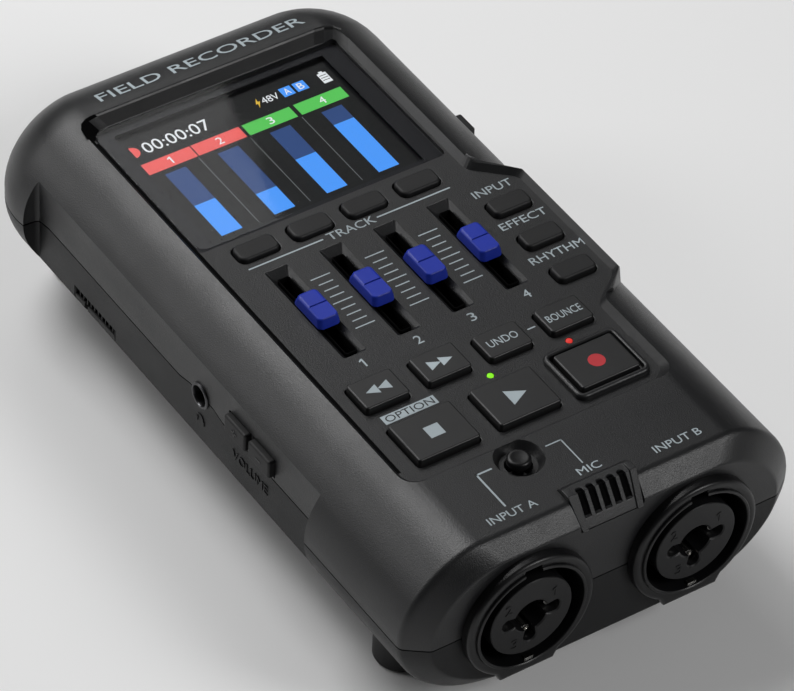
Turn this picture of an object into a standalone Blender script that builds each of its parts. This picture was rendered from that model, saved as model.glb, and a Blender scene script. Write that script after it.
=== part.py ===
"""Portable four-track field recorder as separate sub-parts, in metres, +Z up.

The recorder stands on its feet. X runs across it, Y along it with the two
input sockets at -Y, and the screen is at the +Y end of the top.

Every shape below is placed in body coordinates in millimetres:
    x   across, 0 on the middle plane,
    d   distance behind the flat face that carries the input sockets,
    h   height above the flat top, so everything inside is negative.
"""

import math

import bmesh
import bpy
from mathutils import Matrix, Vector

MM = 0.001

# Body
BODY_HALF = 37.2          # half the width
BODY_LENGTH = 132.0       # from the socket face to the far end
BODY_DEPTH = 32.0         # from the flat top to the underside
FOOT_HEIGHT = 4.5
RIM_PROUD = 2.3           # how far the socket rims stand off their face
WALL_SIDE = 1.8           # at the flat side panels
WALL_BOTTOM = 2.0
DECK = 3.4                # thickness of the top
CHAMFER = 3.0             # band all round the socket face
CHAMFER_SIDE = 4.0
TOP_CORNER = (14.2, 14.5)      # across and down
BOTTOM_CORNER = (18.2, 16.0)   # across and up
CORNER_POWER = 1.11       # 1 makes the corners elliptical, and more makes them flatter
END_START = 119.0         # where the far end starts to round off
END_INSET = (13.2, 9.0)   # how much the far end draws in: sides, top and bottom
SEAM = -16.0
SEAM_SIDE = -14.8         # the seam along the flat side panels
SIDE_FLAT = 34.4          # half the distance between the flat side panels
SIDE_START, SIDE_END = 30.0, 115.6
SIDE_STEP = (1.2, 0.6)    # the curved step at the far end of a side panel: out and along
STEP_SLOPE = math.radians(75)
INNER_HALF = SIDE_FLAT - WALL_SIDE
GAP = 0.2                 # between the two shells
OUTSIDE = 50.0            # clear of the body on every side

# Control panel sunk in the top
FLOOR = -1.6
PANEL_HALF = 24.6
PANEL_WIDE = 31.2
PANEL_FRONT, PANEL_REAR = 20.2, 117.0
PANEL_LIP = (1.0, 1.8)    # how far the opening widens up to the deck: each side, far end
PANEL_CORNER = 3.0
SHOULDER_HALF, SHOULDER_TOP = 32.2, -0.5

# Screen
LENS_HALF, LENS_FRONT, LENS_REAR = 24.0, 82.4, 116.5
LENS_TOP, LENS_THICK = -1.4, 0.9
LCD_HALF, LCD_FRONT, LCD_REAR = 21.0, 83.8, 115.0
LCD_TOP, LCD_BOTTOM = -3.2, -5.6
PART_CLEAR = 0.15         # round each piece set in an opening

# Keys: name, x, d, width, length, height of the top, corner radius
KEYS = [
    ("soft_key_1", -15.7, 78.5, 7.6, 3.9, -0.8, 1.2),
    ("soft_key_2", -5.25, 78.5, 7.6, 3.9, -0.8, 1.2),
    ("soft_key_3", 5.25, 78.5, 7.6, 3.9, -0.8, 1.2),
    ("soft_key_4", 15.7, 78.5, 7.6, 3.9, -0.8, 1.2),
    ("input_key", 25.8, 66.4, 7.3, 3.8, -0.6, 1.0),
    ("effect_key", 25.8, 57.2, 7.3, 3.8, -0.6, 1.0),
    ("rhythm_key", 25.8, 48.0, 7.3, 3.8, -0.6, 1.0),
    ("undo_key", 6.0, 39.4, 8.2, 5.9, -0.5, 0.7),
    ("bounce_key", 17.9, 39.4, 8.2, 5.9, -0.5, 0.7),
    ("rewind_key", -17.4, 40.0, 8.2, 6.3, -0.3, 0.5),
    ("forward_key", -5.6, 40.0, 8.2, 6.3, -0.3, 0.5),
    ("stop_key", -15.1, 27.5, 11.6, 9.2, -0.3, 0.5),
    ("play_key", 0.3, 27.5, 11.6, 9.2, -0.3, 0.5),
    ("record_key", 16.0, 27.5, 11.2, 8.6, -0.3, 0.5),
]
KEY_CLEAR = 0.25
KEY_FLANGE = 0.7
FLANGE_TOP, FLANGE_BOTTOM = -3.7, -4.3
RECORD_FRAME = (16.0, 27.5, 14.2, 11.6)   # x, d, width, length
FRAME_HOLE, FRAME_TALL = (12.2, 9.6), 1.0

# Faders
FADER_X = (-15.4, -4.95, 5.5, 16.0)
FADER_D = 60.7
FADER_SLOT = (2.2, 20.4)
FADER_WELL = (4.4, 23.6)
CAP_SIZE = (3.9, 7.2)
CAP_TOP = 0.5
RAIL_TOP, RAIL_BOTTOM = -3.7, -5.3

# Joystick
STICK_X, STICK_D = -7.4, 15.3
STICK_PIVOT = -4.6        # height of the two tilting axes
BOWL_RADIUS, BOWL_FLOOR, BOWL_MOUTH = 3.9, -1.6, 2.3
KNOB_RADIUS, KNOB_TOP = 2.0, 0.25

# Lamps
LAMPS = [("green_lamp", 0.3, 34.4), ("red_lamp", 15.7, 34.6)]
LAMP_RADIUS = 0.55

# Microphone grille
GRILLE_TOP_HALF, GRILLE_BOTTOM_HALF = 6.5, 5.8
GRILLE_SIDE = [(-0.4, -4.0), (6.2, -4.0), (6.2, 0.2), (5.2, 1.0), (3.4, 1.0)]
GRILLE_OPENING = [(-1.2, -4.2), (6.4, -4.2), (6.4, 1.4), (5.2, 2.2), (3.0, 2.2)]
SLOT_DEPTH, SLOT_FOOT = 4.6, -2.6
CAPSULE_X, CAPSULE_H, CAPSULE_RADIUS = 4.0, -7.6, 2.0
SLOT_COUNT, SLOT_PITCH, SLOT_WIDTH = 5, 1.95, 1.2

# Input sockets
SOCKET_X, SOCKET_H = 15.75, -15.7
RIM_RADIUS, RIM_FLAT, BORE_RADIUS, INSERT_RADIUS = 11.9, 12.05, 9.7, 7.65
BARREL_RADIUS, BARREL_DEPTH = 11.0, 16.0
SOCKET_FACE = -0.08                  # underside of the rim, just off the face of the case
FOOT_WIDE = 5.6                      # half the width of the flat foot of the rim
PLUG_RADIUS = 3.1                    # bore for a 6.35 mm plug
PIN_CIRCLE, PIN_RADIUS = 4.2, 1.25   # the three lobes that take the pins

# Left side
JACK_D, JACK_H, JACK_RADIUS, JACK_BORE, JACK_FLANGE = 65.0, -14.0, 2.1, 1.75, 2.4
VOLUME = [("volume_up", 53.3), ("volume_down", 46.2)]
VOLUME_H, VOLUME_SIZE, VOLUME_OUT = -12.2, (6.2, 3.6), 35.6

# Right side
SWITCH_D, SWITCH_H, SWITCH_SIZE, SWITCH_OUT = 92.8, -9.2, (4.6, 3.8), 36.0
SWITCH_TRAVEL = 3.0       # each way

# Covers let into the lower shell: name, side, d range, h range
COVERS = [
    ("port_cover", -1, (91.6, 104.2), (-26.4, -21.2)),
    ("card_cover", 1, (60.0, 80.0), (-25.6, -19.4)),
]

# Underneath
BATTERY_X, BATTERY_D, BATTERY_H = (-21.6, -7.2, 7.2, 21.6), (62.0, 112.5), -22.0
BATTERY_RADIUS, BATTERY_TIP = 7.05, (2.6, 1.0)
HATCH_HALF, HATCH_FRONT, HATCH_REAR = 27.5, 58.5, 115.5
HATCH_INSIDE = -28.0
FOOT_RADIUS, FOOT_EDGE = 4.5, 0.8
FEET = [
    ("foot_front_left", -26, 18),
    ("foot_front_right", 26, 18),
    ("foot_rear_left", -23, 122),
    ("foot_rear_right", 23, 122),
]
NUT_D, NUT_RADIUS, NUT_BORE = 45.0, 5.0, 3.2

ARC = 4                   # steps in a quarter turn of a small corner
FACETS = 28               # sides of a round piece
SHARP = math.radians(32)  # edges sharper than this stay sharp when shaded
ORIGIN_D = (BODY_LENGTH - RIM_PROUD) / 2
ORIGIN_H = BODY_DEPTH + FOOT_HEIGHT


def place(point):
    """Body coordinates to metres."""
    x, d, h = point
    return (x * MM, (d - ORIGIN_D) * MM, (h + ORIGIN_H) * MM)


def material(name, colour, roughness=0.6, metallic=0.0):
    found = bpy.data.materials.get(name) or bpy.data.materials.new(name)
    found.use_nodes = True
    shader = found.node_tree.nodes["Principled BSDF"]
    shader.inputs["Base Color"].default_value = (*colour, 1)
    shader.inputs["Roughness"].default_value = roughness
    shader.inputs["Metallic"].default_value = metallic
    return found


def make(name, points, faces, finish=None):
    """An object of these faces, turned to face outwards. Without a finish it is
    a cutter, which isn't rendered."""
    bm = bmesh.new()
    corners = [bm.verts.new(place(p)) for p in points]
    for face in faces:
        bm.faces.new([corners[i] for i in face])
    if bm.calc_volume(signed=True) < 0:
        bmesh.ops.reverse_faces(bm, faces=bm.faces)
    mesh = bpy.data.meshes.new(name)
    bm.to_mesh(mesh)
    bm.free()
    obj = bpy.data.objects.new(name, mesh)
    bpy.context.scene.collection.objects.link(obj)
    if finish:
        mesh.materials.append(material(*finish))
    else:
        obj.hide_render = True
        obj.display_type = "WIRE"
    return obj


def pivot(obj, point):
    """Put the object's origin at this point, where its joint's axis runs."""
    centre = Vector(place(point))
    obj.data.transform(Matrix.Translation(-centre))
    obj.location = centre
    return obj


def loft(name, rings, finish=None, closed=False):
    """A solid through equal rings, capped at both ends or, when closed, with
    its last ring joined to its first."""
    count = len(rings[0])
    points = [p for ring in rings for p in ring]
    faces = []
    for i in range(len(rings) - (not closed)):
        a, b = i * count, (i + 1) % len(rings) * count
        for j in range(count):
            k = (j + 1) % count
            faces.append((a + j, a + k, b + k, b + j))
    if not closed:
        last = (len(rings) - 1) * count
        faces.append(tuple(reversed(range(count))))
        faces.append(tuple(range(last, last + count)))
    return make(name, points, faces, finish)


def rounded(x, d, width, length, radius, h):
    """A rounded rectangle at height h, anticlockwise from above."""
    ring = []
    for quarter, (sx, sd) in enumerate(((1, 1), (-1, 1), (-1, -1), (1, -1))):
        for step in range(ARC + 1):
            turn = math.pi / 2 * (quarter + step / ARC)
            across = sx * (width / 2 - radius) + radius * math.cos(turn)
            along = sd * (length / 2 - radius) + radius * math.sin(turn)
            ring.append((x + across, d + along, h))
    return ring


def block(name, x, d, h, finish=None):
    """A box between the pairs x, d and h."""
    rings = [[(x[1], d[0], z), (x[1], d[1], z), (x[0], d[1], z), (x[0], d[0], z)] for z in h]
    return loft(name, rings, finish)


def circle(axis, centre, radius, along, count=FACETS):
    """A ring round an axis ("x", "d" or "h") through centre, at `along` on it."""
    x, d, h = centre
    ring = []
    for i in range(count):
        turn = 2 * math.pi * i / count
        c, s = radius * math.cos(turn), radius * math.sin(turn)
        points = {"x": (along, d + c, h + s), "d": (x + s, along, h + c), "h": (x + c, d + s, along)}
        ring.append(points[axis])
    return ring


def lathe(name, axis, centre, profile, finish=None, closed=False, count=FACETS):
    """A solid of revolution from (radius, position along the axis) pairs."""
    rings = [circle(axis, centre, radius, along, count) for radius, along in profile]
    return loft(name, rings, finish, closed)


def boolean(obj, other, operation="DIFFERENCE"):
    cut = obj.modifiers.new(other.name, "BOOLEAN")
    cut.operation = operation
    cut.solver = "EXACT"
    cut.object = other
    return obj


def flattened(value, power):
    return math.copysign(abs(value) ** power, value)


def section(d, half, top, bottom, top_corner, bottom_corner, steps=7, power=CORNER_POWER):
    """The body's cross-section, anticlockwise seen from the far end."""
    ring = []
    corners = (
        (1, top - top_corner[1], top_corner, 0),
        (-1, top - top_corner[1], top_corner, 1),
        (-1, bottom + bottom_corner[1], bottom_corner, 2),
        (1, bottom + bottom_corner[1], bottom_corner, 3),
    )
    for side, h, (across, down), quarter in corners:
        for step in range(steps + 1):
            turn = math.pi / 2 * (quarter + step / steps)
            x = side * (half - across) + across * flattened(math.cos(turn), power)
            ring.append((x, d, h + down * flattened(math.sin(turn), power)))
    return ring[::-1]


def body(name, grow=0.0):
    """The outside of the recorder, swollen by `grow`."""
    half, top, bottom = BODY_HALF + grow, grow, -BODY_DEPTH - grow
    rings = [
        section(
            -grow, half - CHAMFER_SIDE, top - CHAMFER, bottom + CHAMFER,
            (TOP_CORNER[0] - 1, TOP_CORNER[1] - 2.2), (BOTTOM_CORNER[0] - 1.5, BOTTOM_CORNER[1] - 3.2),
        ),
        section(CHAMFER, half, top, bottom, TOP_CORNER, BOTTOM_CORNER),
    ]
    for step in range(7):
        turn = math.pi / 2 * step / 6
        sides, ends = (inset * (1 - math.cos(turn)) for inset in END_INSET)
        d = END_START + (BODY_LENGTH + grow - END_START) * math.sin(turn)
        shrink = 1 - 0.5 * (1 - math.cos(turn))
        rings.append(
            section(
                d, half - sides, top - ends, bottom + ends,
                (TOP_CORNER[0] * shrink, TOP_CORNER[1] * shrink - 0.4 * ends),
                (BOTTOM_CORNER[0] * shrink, BOTTOM_CORNER[1] * shrink - 0.4 * ends),
            )
        )
    return loft(name, rings)


def cavity(name):
    """The hollow inside both shells."""
    half, top, bottom = INNER_HALF, -DECK, -BODY_DEPTH + WALL_BOTTOM
    sections = [
        (2.2, half - 2, top - 1.5, bottom + 1.5, (10, 9), (13, 12)),
        (6.0, half, top, bottom, (11, 11.5), (14, 14)),
        (END_START, half, top, bottom, (11, 11.5), (14, 14)),
        (BODY_LENGTH - 7, half - 6, top - 4.5, bottom + 4.5, (9, 8), (10, 9)),
        (BODY_LENGTH - 2.5, half - 12, top - 8, bottom + 8, (6, 4), (6, 4)),
    ]
    return loft(name, [section(*sizes, steps=5, power=1) for sizes in sections])


def seam_line(jack_side):
    """The seam as (d, h). It steps at the side panels, and rises to the middle
    of the headphone jack on that side."""
    level = JACK_H if jack_side else SEAM_SIDE
    return [
        (-OUTSIDE, SEAM), (SIDE_START, SEAM), (SIDE_START + 0.3, SEAM_SIDE), (JACK_D - 6.5, SEAM_SIDE),
        (JACK_D - 3.6, level), (JACK_D + 3.4, level), (JACK_D + 6.5, SEAM_SIDE),
        (SIDE_END - 3, SEAM_SIDE), (SIDE_END + 2.4, SEAM), (BODY_LENGTH + OUTSIDE, SEAM),
    ]


def seam_cutter(name, above):
    """All that lies above the seam, or all that lies under it."""
    lift = GAP / 2 if above else -GAP / 2
    far = -OUTSIDE if above else OUTSIDE
    rings = []
    for x in (OUTSIDE, 1, -1, -OUTSIDE):
        line = seam_line(x < 0)
        ring = [(x, d, h + lift) for d, h in line]
        rings.append(ring + [(x, line[-1][0], far), (x, line[0][0], far)])
    return loft(name, rings)


def side_plan():
    """What comes off each side, as (x, d): flat, with a curved step at its far end."""
    out, along = SIDE_STEP
    slope = STEP_SLOPE
    plan = [(SIDE_FLAT, SIDE_START), (OUTSIDE, SIDE_START)]
    end = (SIDE_FLAT + out * (1 - math.cos(slope)), SIDE_END + along * math.sin(slope))
    beyond = (end[0] + out * math.sin(slope), end[1] + along * math.cos(slope))
    plan += [(OUTSIDE, beyond[1]), beyond]
    steps = 4
    for step in range(steps + 1):
        turn = slope * (1 - step / steps)
        plan.append((SIDE_FLAT + out * (1 - math.cos(turn)), SIDE_END + along * math.sin(turn)))
    return plan


def side_panels(obj):
    """Plane off the two long sides."""
    for side in (-1, 1):
        plan = [(side * x, d) for x, d in side_plan()][::side]
        rings = [[(x, d, h) for x, d in plan] for h in (-OUTSIDE, 5)]
        boolean(obj, loft(f"cut_side_{obj.name}_{side}", rings))


def panel_outline(out, rear, h):
    """The sunk panel's outline, pushed out by `out`, and by `rear` at the far end."""
    corner = PANEL_CORNER
    narrow, wide = PANEL_HALF + out, PANEL_WIDE + out
    front, end = PANEL_FRONT - out, PANEL_REAR + rear
    ring = []
    for side, start in ((-1, math.pi), (1, 1.5 * math.pi)):
        for step in range(ARC + 1):
            turn = start + math.pi / 2 * step / ARC
            x = side * (narrow - corner) + corner * math.cos(turn)
            ring.append((x, front + corner + corner * math.sin(turn), h))
    lean = 0.4 * out
    ring += [(narrow, 39.2 - lean, h), (wide, 44.2 - lean, h)]
    ring += [(wide, 71.4 + lean, h), (narrow, 77.4 + lean, h)]
    ring += [(narrow, end - 1.5, h), (narrow - 1.5, end, h), (1.5 - narrow, end, h), (-narrow, end - 1.5, h)]
    return ring


def shell_cuts(obj):
    """Every opening in the deck of the upper shell."""
    lips = [(0, 0, FLOOR), (*PANEL_LIP, 0.0), (*PANEL_LIP, 6.0)]
    boolean(obj, loft("cut_panel", [panel_outline(*lip) for lip in lips]))
    middle = (LENS_FRONT + LENS_REAR) / 2
    size = (2 * (LENS_HALF + PART_CLEAR), LENS_REAR - LENS_FRONT + 2 * PART_CLEAR, 1.0)
    seat = LENS_TOP - LENS_THICK - 0.05
    boolean(obj, loft("cut_lens", [rounded(0, middle, *size, h) for h in (seat, 1)]))
    gap = 2 * PART_CLEAR
    box_cut(obj, "cut_window", (-LCD_HALF - gap, LCD_HALF + gap), (LCD_FRONT - gap, LCD_REAR + gap), (-9, 0))
    for name, x, d, width, length, _, radius in KEYS:
        size = (width + 2 * KEY_CLEAR, length + 2 * KEY_CLEAR, radius + KEY_CLEAR)
        boolean(obj, loft(f"cut_{name}", [rounded(x, d, *size, h) for h in (-9, 3)]))
    box_cut(obj, "cut_key_pocket", (20, PANEL_WIDE - 0.5), (44.8, 70.0), (-9, -DECK - 0.1))
    for i, x in enumerate(FADER_X):
        well, slot = (*FADER_WELL, 0.4), (*FADER_SLOT, 0.4)
        rings = [rounded(x, FADER_D, *slot, -9), rounded(x, FADER_D, *slot, -2.7)]
        rings += [rounded(x, FADER_D + 0.6, *well, FLOOR), rounded(x, FADER_D + 0.6, *well, 3)]
        boolean(obj, loft(f"cut_fader_{i}", rings))
    profile = [
        (BOWL_MOUTH, -9), (BOWL_MOUTH, BOWL_FLOOR), (BOWL_RADIUS - 0.8, BOWL_FLOOR),
        (BOWL_RADIUS, -0.3), (BOWL_RADIUS, 3),
    ]
    boolean(obj, lathe("cut_bowl", "h", (STICK_X, STICK_D, 0), profile))
    for name, x, d in LAMPS:
        reach = LAMP_RADIUS + PART_CLEAR
        boolean(obj, lathe(f"cut_{name}", "h", (x, d, 0), [(reach, -9), (reach, 3)], count=16))


def grille(name, side_view, clearance=0.0, finish=None):
    """A wedge with this side view, as (d, h), that widens upwards."""
    foot, widening = side_view[0][1], GRILLE_TOP_HALF - GRILLE_BOTTOM_HALF
    rings = []
    for side in (1, -1):
        ring = []
        for d, h in side_view:
            half = GRILLE_BOTTOM_HALF + widening * min(1, (h - foot) / 5)
            ring.append((side * (half + clearance), d, h))
        rings.append(ring)
    return loft(name, rings, finish)


def round_cuts(obj):
    """The holes for the sockets and the headphone jack, which both shells share."""
    reach = BARREL_RADIUS + 0.2
    profile = [(reach, -5), (reach, BARREL_DEPTH + 1)]
    for side in (-1, 1):
        centre = (side * SOCKET_X, 0, SOCKET_H)
        boolean(obj, lathe(f"cut_socket_{obj.name}_{side}", "d", centre, profile))
    reach = JACK_RADIUS + PART_CLEAR
    centre = (0, JACK_D, JACK_H)
    boolean(obj, lathe(f"cut_jack_{obj.name}", "x", centre, [(reach, -OUTSIDE), (reach, -30)], count=20))


def box_cut(obj, name, x, d, h):
    boolean(obj, block(name, tuple(sorted(x)), d, h))


CHARCOAL = ("charcoal_plastic", (0.035, 0.036, 0.040), 0.55)
BLACK = ("black_plastic", (0.012, 0.012, 0.013), 0.45)
RUBBER = ("key_rubber", (0.020, 0.020, 0.022), 0.75)
BLUE = ("blue_plastic", (0.02, 0.03, 0.36), 0.35)
STEEL = ("bright_steel", (0.60, 0.60, 0.62), 0.30, 1.0)
BOARD = ("circuit_board", (0.02, 0.12, 0.06), 0.50)
GLASS = ("lens_plastic", (0.02, 0.02, 0.025), 0.08)
WRAP = ("battery_wrap", (0.05, 0.16, 0.30), 0.4)


def build_shells():
    hollow = cavity("cut_cavity")
    upper, lower = (whole_shell(name) for name in ("upper_shell", "lower_shell"))
    inner = 20.0
    shoulder = [
        (inner, 39.4), (28.4, 40.4), (SHOULDER_HALF, 44.0),
        (SHOULDER_HALF, 71.8), (27.0, 77.6), (inner, 79.0),
    ]
    rings = []
    for h, spread in ((-9.0, 1.2), (SHOULDER_TOP, 0.0)):
        rings.append([(x + (spread if x > inner else 0), d, h) for x, d in shoulder])
    boolean(upper, loft("add_shoulder", rings), "UNION")
    boolean(upper, hollow)
    boolean(lower, hollow)
    boolean(upper, seam_cutter("cut_under_seam", True))
    boolean(lower, seam_cutter("cut_over_seam", False))
    for shell in (upper, lower):
        side_panels(shell)
        round_cuts(shell)
    shell_cuts(upper)
    boolean(upper, grille("cut_grille", GRILLE_OPENING, PART_CLEAR))
    side_cuts(upper)
    lower_cuts(lower)


def whole_shell(name):
    """The whole body as a solid, from which one shell is cut."""
    shell = body(name)
    shell.hide_render = False
    shell.display_type = "TEXTURED"
    shell.data.materials.append(material(*CHARCOAL))
    return shell


def side_cuts(upper):
    """Side openings of the upper shell, each with room inside for its flange."""
    inside = INNER_HALF + 0.1
    box_cut(upper, "cut_volume_pocket", (-inside, -27), (42.2, 57.4), (-16.4, -9.4))
    box_cut(upper, "cut_switch_pocket", (27, inside), (82.8, 102.8), (-12.0, -6.4))
    long, tall = VOLUME_SIZE[0] / 2 + 0.2, VOLUME_SIZE[1] / 2 + 0.2
    height = (VOLUME_H - tall, VOLUME_H + tall)
    for name, d in VOLUME:
        box_cut(upper, f"cut_{name}", (-OUTSIDE, -30), (d - long, d + long), height)
    long, tall = SWITCH_SIZE[0] / 2 + SWITCH_TRAVEL + 0.4, SWITCH_SIZE[1] / 2 + 0.2
    height = (SWITCH_H - tall, SWITCH_H + tall)
    box_cut(upper, "cut_switch", (30, OUTSIDE), (SWITCH_D - long, SWITCH_D + long), height)


def lower_cuts(lower):
    for name, side, d, h in COVERS:
        x = (side * 28, side * OUTSIDE)
        box_cut(lower, f"cut_{name}", x, (d[0] - GAP, d[1] + GAP), (h[0] - GAP, h[1] + GAP))
    half = HATCH_HALF + GAP
    length = (HATCH_FRONT - GAP, HATCH_REAR + GAP)
    box_cut(lower, "cut_hatch", (-half, half), length, (-OUTSIDE, HATCH_INSIDE))
    reach = NUT_RADIUS + PART_CLEAR
    boolean(lower, lathe("cut_nut", "h", (0, NUT_D, 0), [(reach, -OUTSIDE), (reach, -28)]))


def build_covers():
    """Pieces that fill an opening of the lower shell and carry on its surface."""
    for name, side, d, h in COVERS:
        x = tuple(sorted((side * 30.0, side * OUTSIDE)))
        cover = block(name, x, d, h, RUBBER)
        pivot(cover, (side * SIDE_FLAT, sum(d) / 2, sum(h) / 2))
        follow_case(cover)
    depth = (-OUTSIDE, HATCH_INSIDE - GAP)
    hatch = block("battery_hatch", (-HATCH_HALF, HATCH_HALF), (HATCH_FRONT, HATCH_REAR), depth, CHARCOAL)
    pivot(hatch, (0, (HATCH_FRONT + HATCH_REAR) / 2, -BODY_DEPTH))
    follow_case(hatch)


def follow_case(obj):
    """Keep only what lies in the walls of the case."""
    boolean(obj, bpy.data.objects["cut_blank"], "INTERSECT")
    boolean(obj, bpy.data.objects["cut_cavity"])


def build_screen():
    middle, length = (LENS_FRONT + LENS_REAR) / 2, LENS_REAR - LENS_FRONT
    heights = (LENS_TOP - LENS_THICK, LENS_TOP)
    loft("screen_lens", [rounded(0, middle, 2 * LENS_HALF, length, 0.9, h) for h in heights], GLASS)
    block("lcd_module", (-LCD_HALF, LCD_HALF), (LCD_FRONT, LCD_REAR), (LCD_BOTTOM, LCD_TOP), BLACK)


def build_keys():
    for name, x, d, width, length, top, radius in KEYS:
        skirt = (width + 2 * KEY_FLANGE, length + 2 * KEY_FLANGE, radius + KEY_FLANGE)
        side = (width, length, radius)
        crown = (width - 0.8, length - 0.8, max(radius - 0.4, 0.15))
        rings = [rounded(x, d, *skirt, FLANGE_BOTTOM), rounded(x, d, *skirt, FLANGE_TOP)]
        rings += [rounded(x, d, *side, FLANGE_TOP), rounded(x, d, *side, top - 0.35)]
        rings += [rounded(x, d, *crown, top)]
        pivot(loft(name, rings, RUBBER), (x, d, top))
    x, d, width, length = RECORD_FRAME
    low, high = FLOOR + 0.05, FLOOR + FRAME_TALL
    rings = [
        rounded(x, d, width, length, 1.4, low), rounded(x, d, width - 0.4, length - 0.4, 1.2, high),
        rounded(x, d, *FRAME_HOLE, 0.8, high), rounded(x, d, *FRAME_HOLE, 0.8, low),
    ]
    loft("record_frame", rings, CHARCOAL, closed=True)


def build_faders():
    for i, x in enumerate(FADER_X, 1):
        wide, long = CAP_SIZE
        stem, foot = (1.4, 4.6, 0.3), FLOOR + 0.25
        rings = [rounded(x, FADER_D, *stem, -4.7), rounded(x, FADER_D, *stem, foot)]
        rings += [
            rounded(x, FADER_D, wide + 0.4, long + 0.6, 0.6, foot),
            rounded(x, FADER_D, wide, long, 0.6, CAP_TOP - 0.5),
            rounded(x, FADER_D, wide - 0.7, long - 0.7, 0.4, CAP_TOP),
        ]
        pivot(loft(f"fader_cap_{i}", rings, BLUE), (x, FADER_D, foot))
        rings = [rounded(x, FADER_D, 5.0, 26.0, 0.3, h) for h in (RAIL_BOTTOM, RAIL_TOP)]
        rings += [rounded(x, FADER_D, 1.9, 21.0, 0.3, h) for h in (RAIL_TOP, RAIL_BOTTOM + 0.3)]
        loft(f"fader_track_{i}", rings, STEEL)


def build_stick():
    centre = (STICK_X, STICK_D, STICK_PIVOT)
    profile = [
        (0.55, -4.9), (0.55, -3.9), (0.9, -3.7), (0.9, -1.3),
        (KNOB_RADIUS, -1.1), (KNOB_RADIUS, KNOB_TOP - 0.4), (KNOB_RADIUS - 0.4, KNOB_TOP),
    ]
    pivot(lathe("joystick_knob", "h", centre, profile, BLACK, count=20), centre)
    low, high = STICK_PIVOT - 0.25, STICK_PIVOT + 0.25
    profile = [(0.8, low), (1.7, low), (1.7, high), (0.8, high)]
    pivot(lathe("joystick_gimbal", "h", centre, profile, STEEL, True, 20), centre)
    rings = [rounded(STICK_X, STICK_D, 7.0, 7.0, 0.5, h) for h in (-5.3, -4.0)]
    rings += [rounded(STICK_X, STICK_D, 4.4, 4.4, 0.4, h) for h in (-4.0, -5.15)]
    loft("joystick_base", rings, STEEL)


def build_lamps():
    for name, x, d in LAMPS:
        colour = (0.05, 0.6, 0.1) if name.startswith("green") else (0.7, 0.03, 0.03)
        finish = (name + "_plastic", colour, 0.3)
        lathe(name, "h", (x, d, 0), [(LAMP_RADIUS, -5.3), (LAMP_RADIUS, FLOOR + 0.1)], finish, count=16)


def build_grille():
    wedge = grille("mic_grille", GRILLE_SIDE, 0.0, CHARCOAL)
    for i in range(SLOT_COUNT):
        x = (i - (SLOT_COUNT - 1) / 2) * SLOT_PITCH
        half = SLOT_WIDTH / 2
        box_cut(wedge, f"cut_slot_{i}", (x - half, x + half), (-3, SLOT_DEPTH), (SLOT_FOOT, 3))
    profile = [(CAPSULE_RADIUS, 3.4), (CAPSULE_RADIUS, 6.2)]
    for name, x in (("mic_capsule_left", -CAPSULE_X), ("mic_capsule_right", CAPSULE_X)):
        lathe(name, "d", (x, 0, CAPSULE_H), profile, STEEL, count=20)


def rim_ring(x, along, radius, flat, drop):
    """A socket rim outline: round, with a flat foot when `flat` is over 0."""
    ring = circle("d", (x, 0, SOCKET_H), radius, along, 36)
    if flat:
        foot = SOCKET_H - drop
        ring = [
            (px, d, foot) if h < SOCKET_H and abs(px - x) < flat else (px, d, h)
            for px, d, h in ring
        ]
    return ring


def pin_ring(x, along):
    """The opening in a socket insert: a round jack bore with three pin lobes."""
    ring = []
    for i in range(48):
        turn = 2 * math.pi * i / 48
        reach = PLUG_RADIUS
        for lobe in (math.pi / 2, -math.pi / 2, math.pi):
            off = math.remainder(turn - lobe, 2 * math.pi)
            if abs(off) < math.asin(PIN_RADIUS / PIN_CIRCLE):
                across = PIN_CIRCLE * math.sin(off)
                reach = max(reach, PIN_CIRCLE * math.cos(off) + math.sqrt(PIN_RADIUS**2 - across**2))
        ring.append((x + reach * math.sin(turn), along, SOCKET_H + reach * math.cos(turn)))
    return ring


def build_sockets():
    for name, side in (("a", -1), ("b", 1)):
        x = side * SOCKET_X
        rings = [rim_ring(x, BARREL_DEPTH - 2, BORE_RADIUS, 0, 0), rim_ring(x, -1.7, BORE_RADIUS, 0, 0)]
        rings += [
            rim_ring(x, -RIM_PROUD, BORE_RADIUS + 0.5, 0, 0),
            rim_ring(x, -RIM_PROUD, RIM_RADIUS - 0.6, FOOT_WIDE - 0.6, RIM_FLAT - 0.5),
            rim_ring(x, -RIM_PROUD + 0.8, RIM_RADIUS, FOOT_WIDE, RIM_FLAT),
            rim_ring(x, SOCKET_FACE, RIM_RADIUS, FOOT_WIDE, RIM_FLAT),
            rim_ring(x, SOCKET_FACE, BARREL_RADIUS, 0, 0),
            rim_ring(x, BARREL_DEPTH, BARREL_RADIUS, 0, 0),
        ]
        loft(f"socket_shell_{name}", rings[::-1], BLACK)
        profile = [(INSERT_RADIUS - 0.3, -2.2), (INSERT_RADIUS, -1.9), (INSERT_RADIUS, BARREL_DEPTH - 2.1)]
        insert = lathe(f"socket_insert_{name}", "d", (x, 0, SOCKET_H), profile, BLACK)
        boolean(insert, loft(f"cut_pins_{name}", [pin_ring(x, along) for along in (-6, 12)]))


def build_sides():
    profile = [
        (JACK_FLANGE, -SIDE_FLAT - 0.55), (JACK_FLANGE, -SIDE_FLAT - 0.05), (JACK_RADIUS, -SIDE_FLAT - 0.05),
        (JACK_RADIUS, -28), (JACK_BORE, -28), (JACK_BORE, -SIDE_FLAT - 0.55),
    ]
    lathe("headphone_jack", "x", (0, JACK_D, JACK_H), profile, STEEL, closed=True, count=24)
    for name, d in VOLUME:
        press_button(name, -1, d, VOLUME_H, VOLUME_SIZE, VOLUME_OUT, 0.3)
    press_button("power_switch", 1, SWITCH_D, SWITCH_H, SWITCH_SIZE, SWITCH_OUT, SWITCH_TRAVEL + 1.2)


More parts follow.
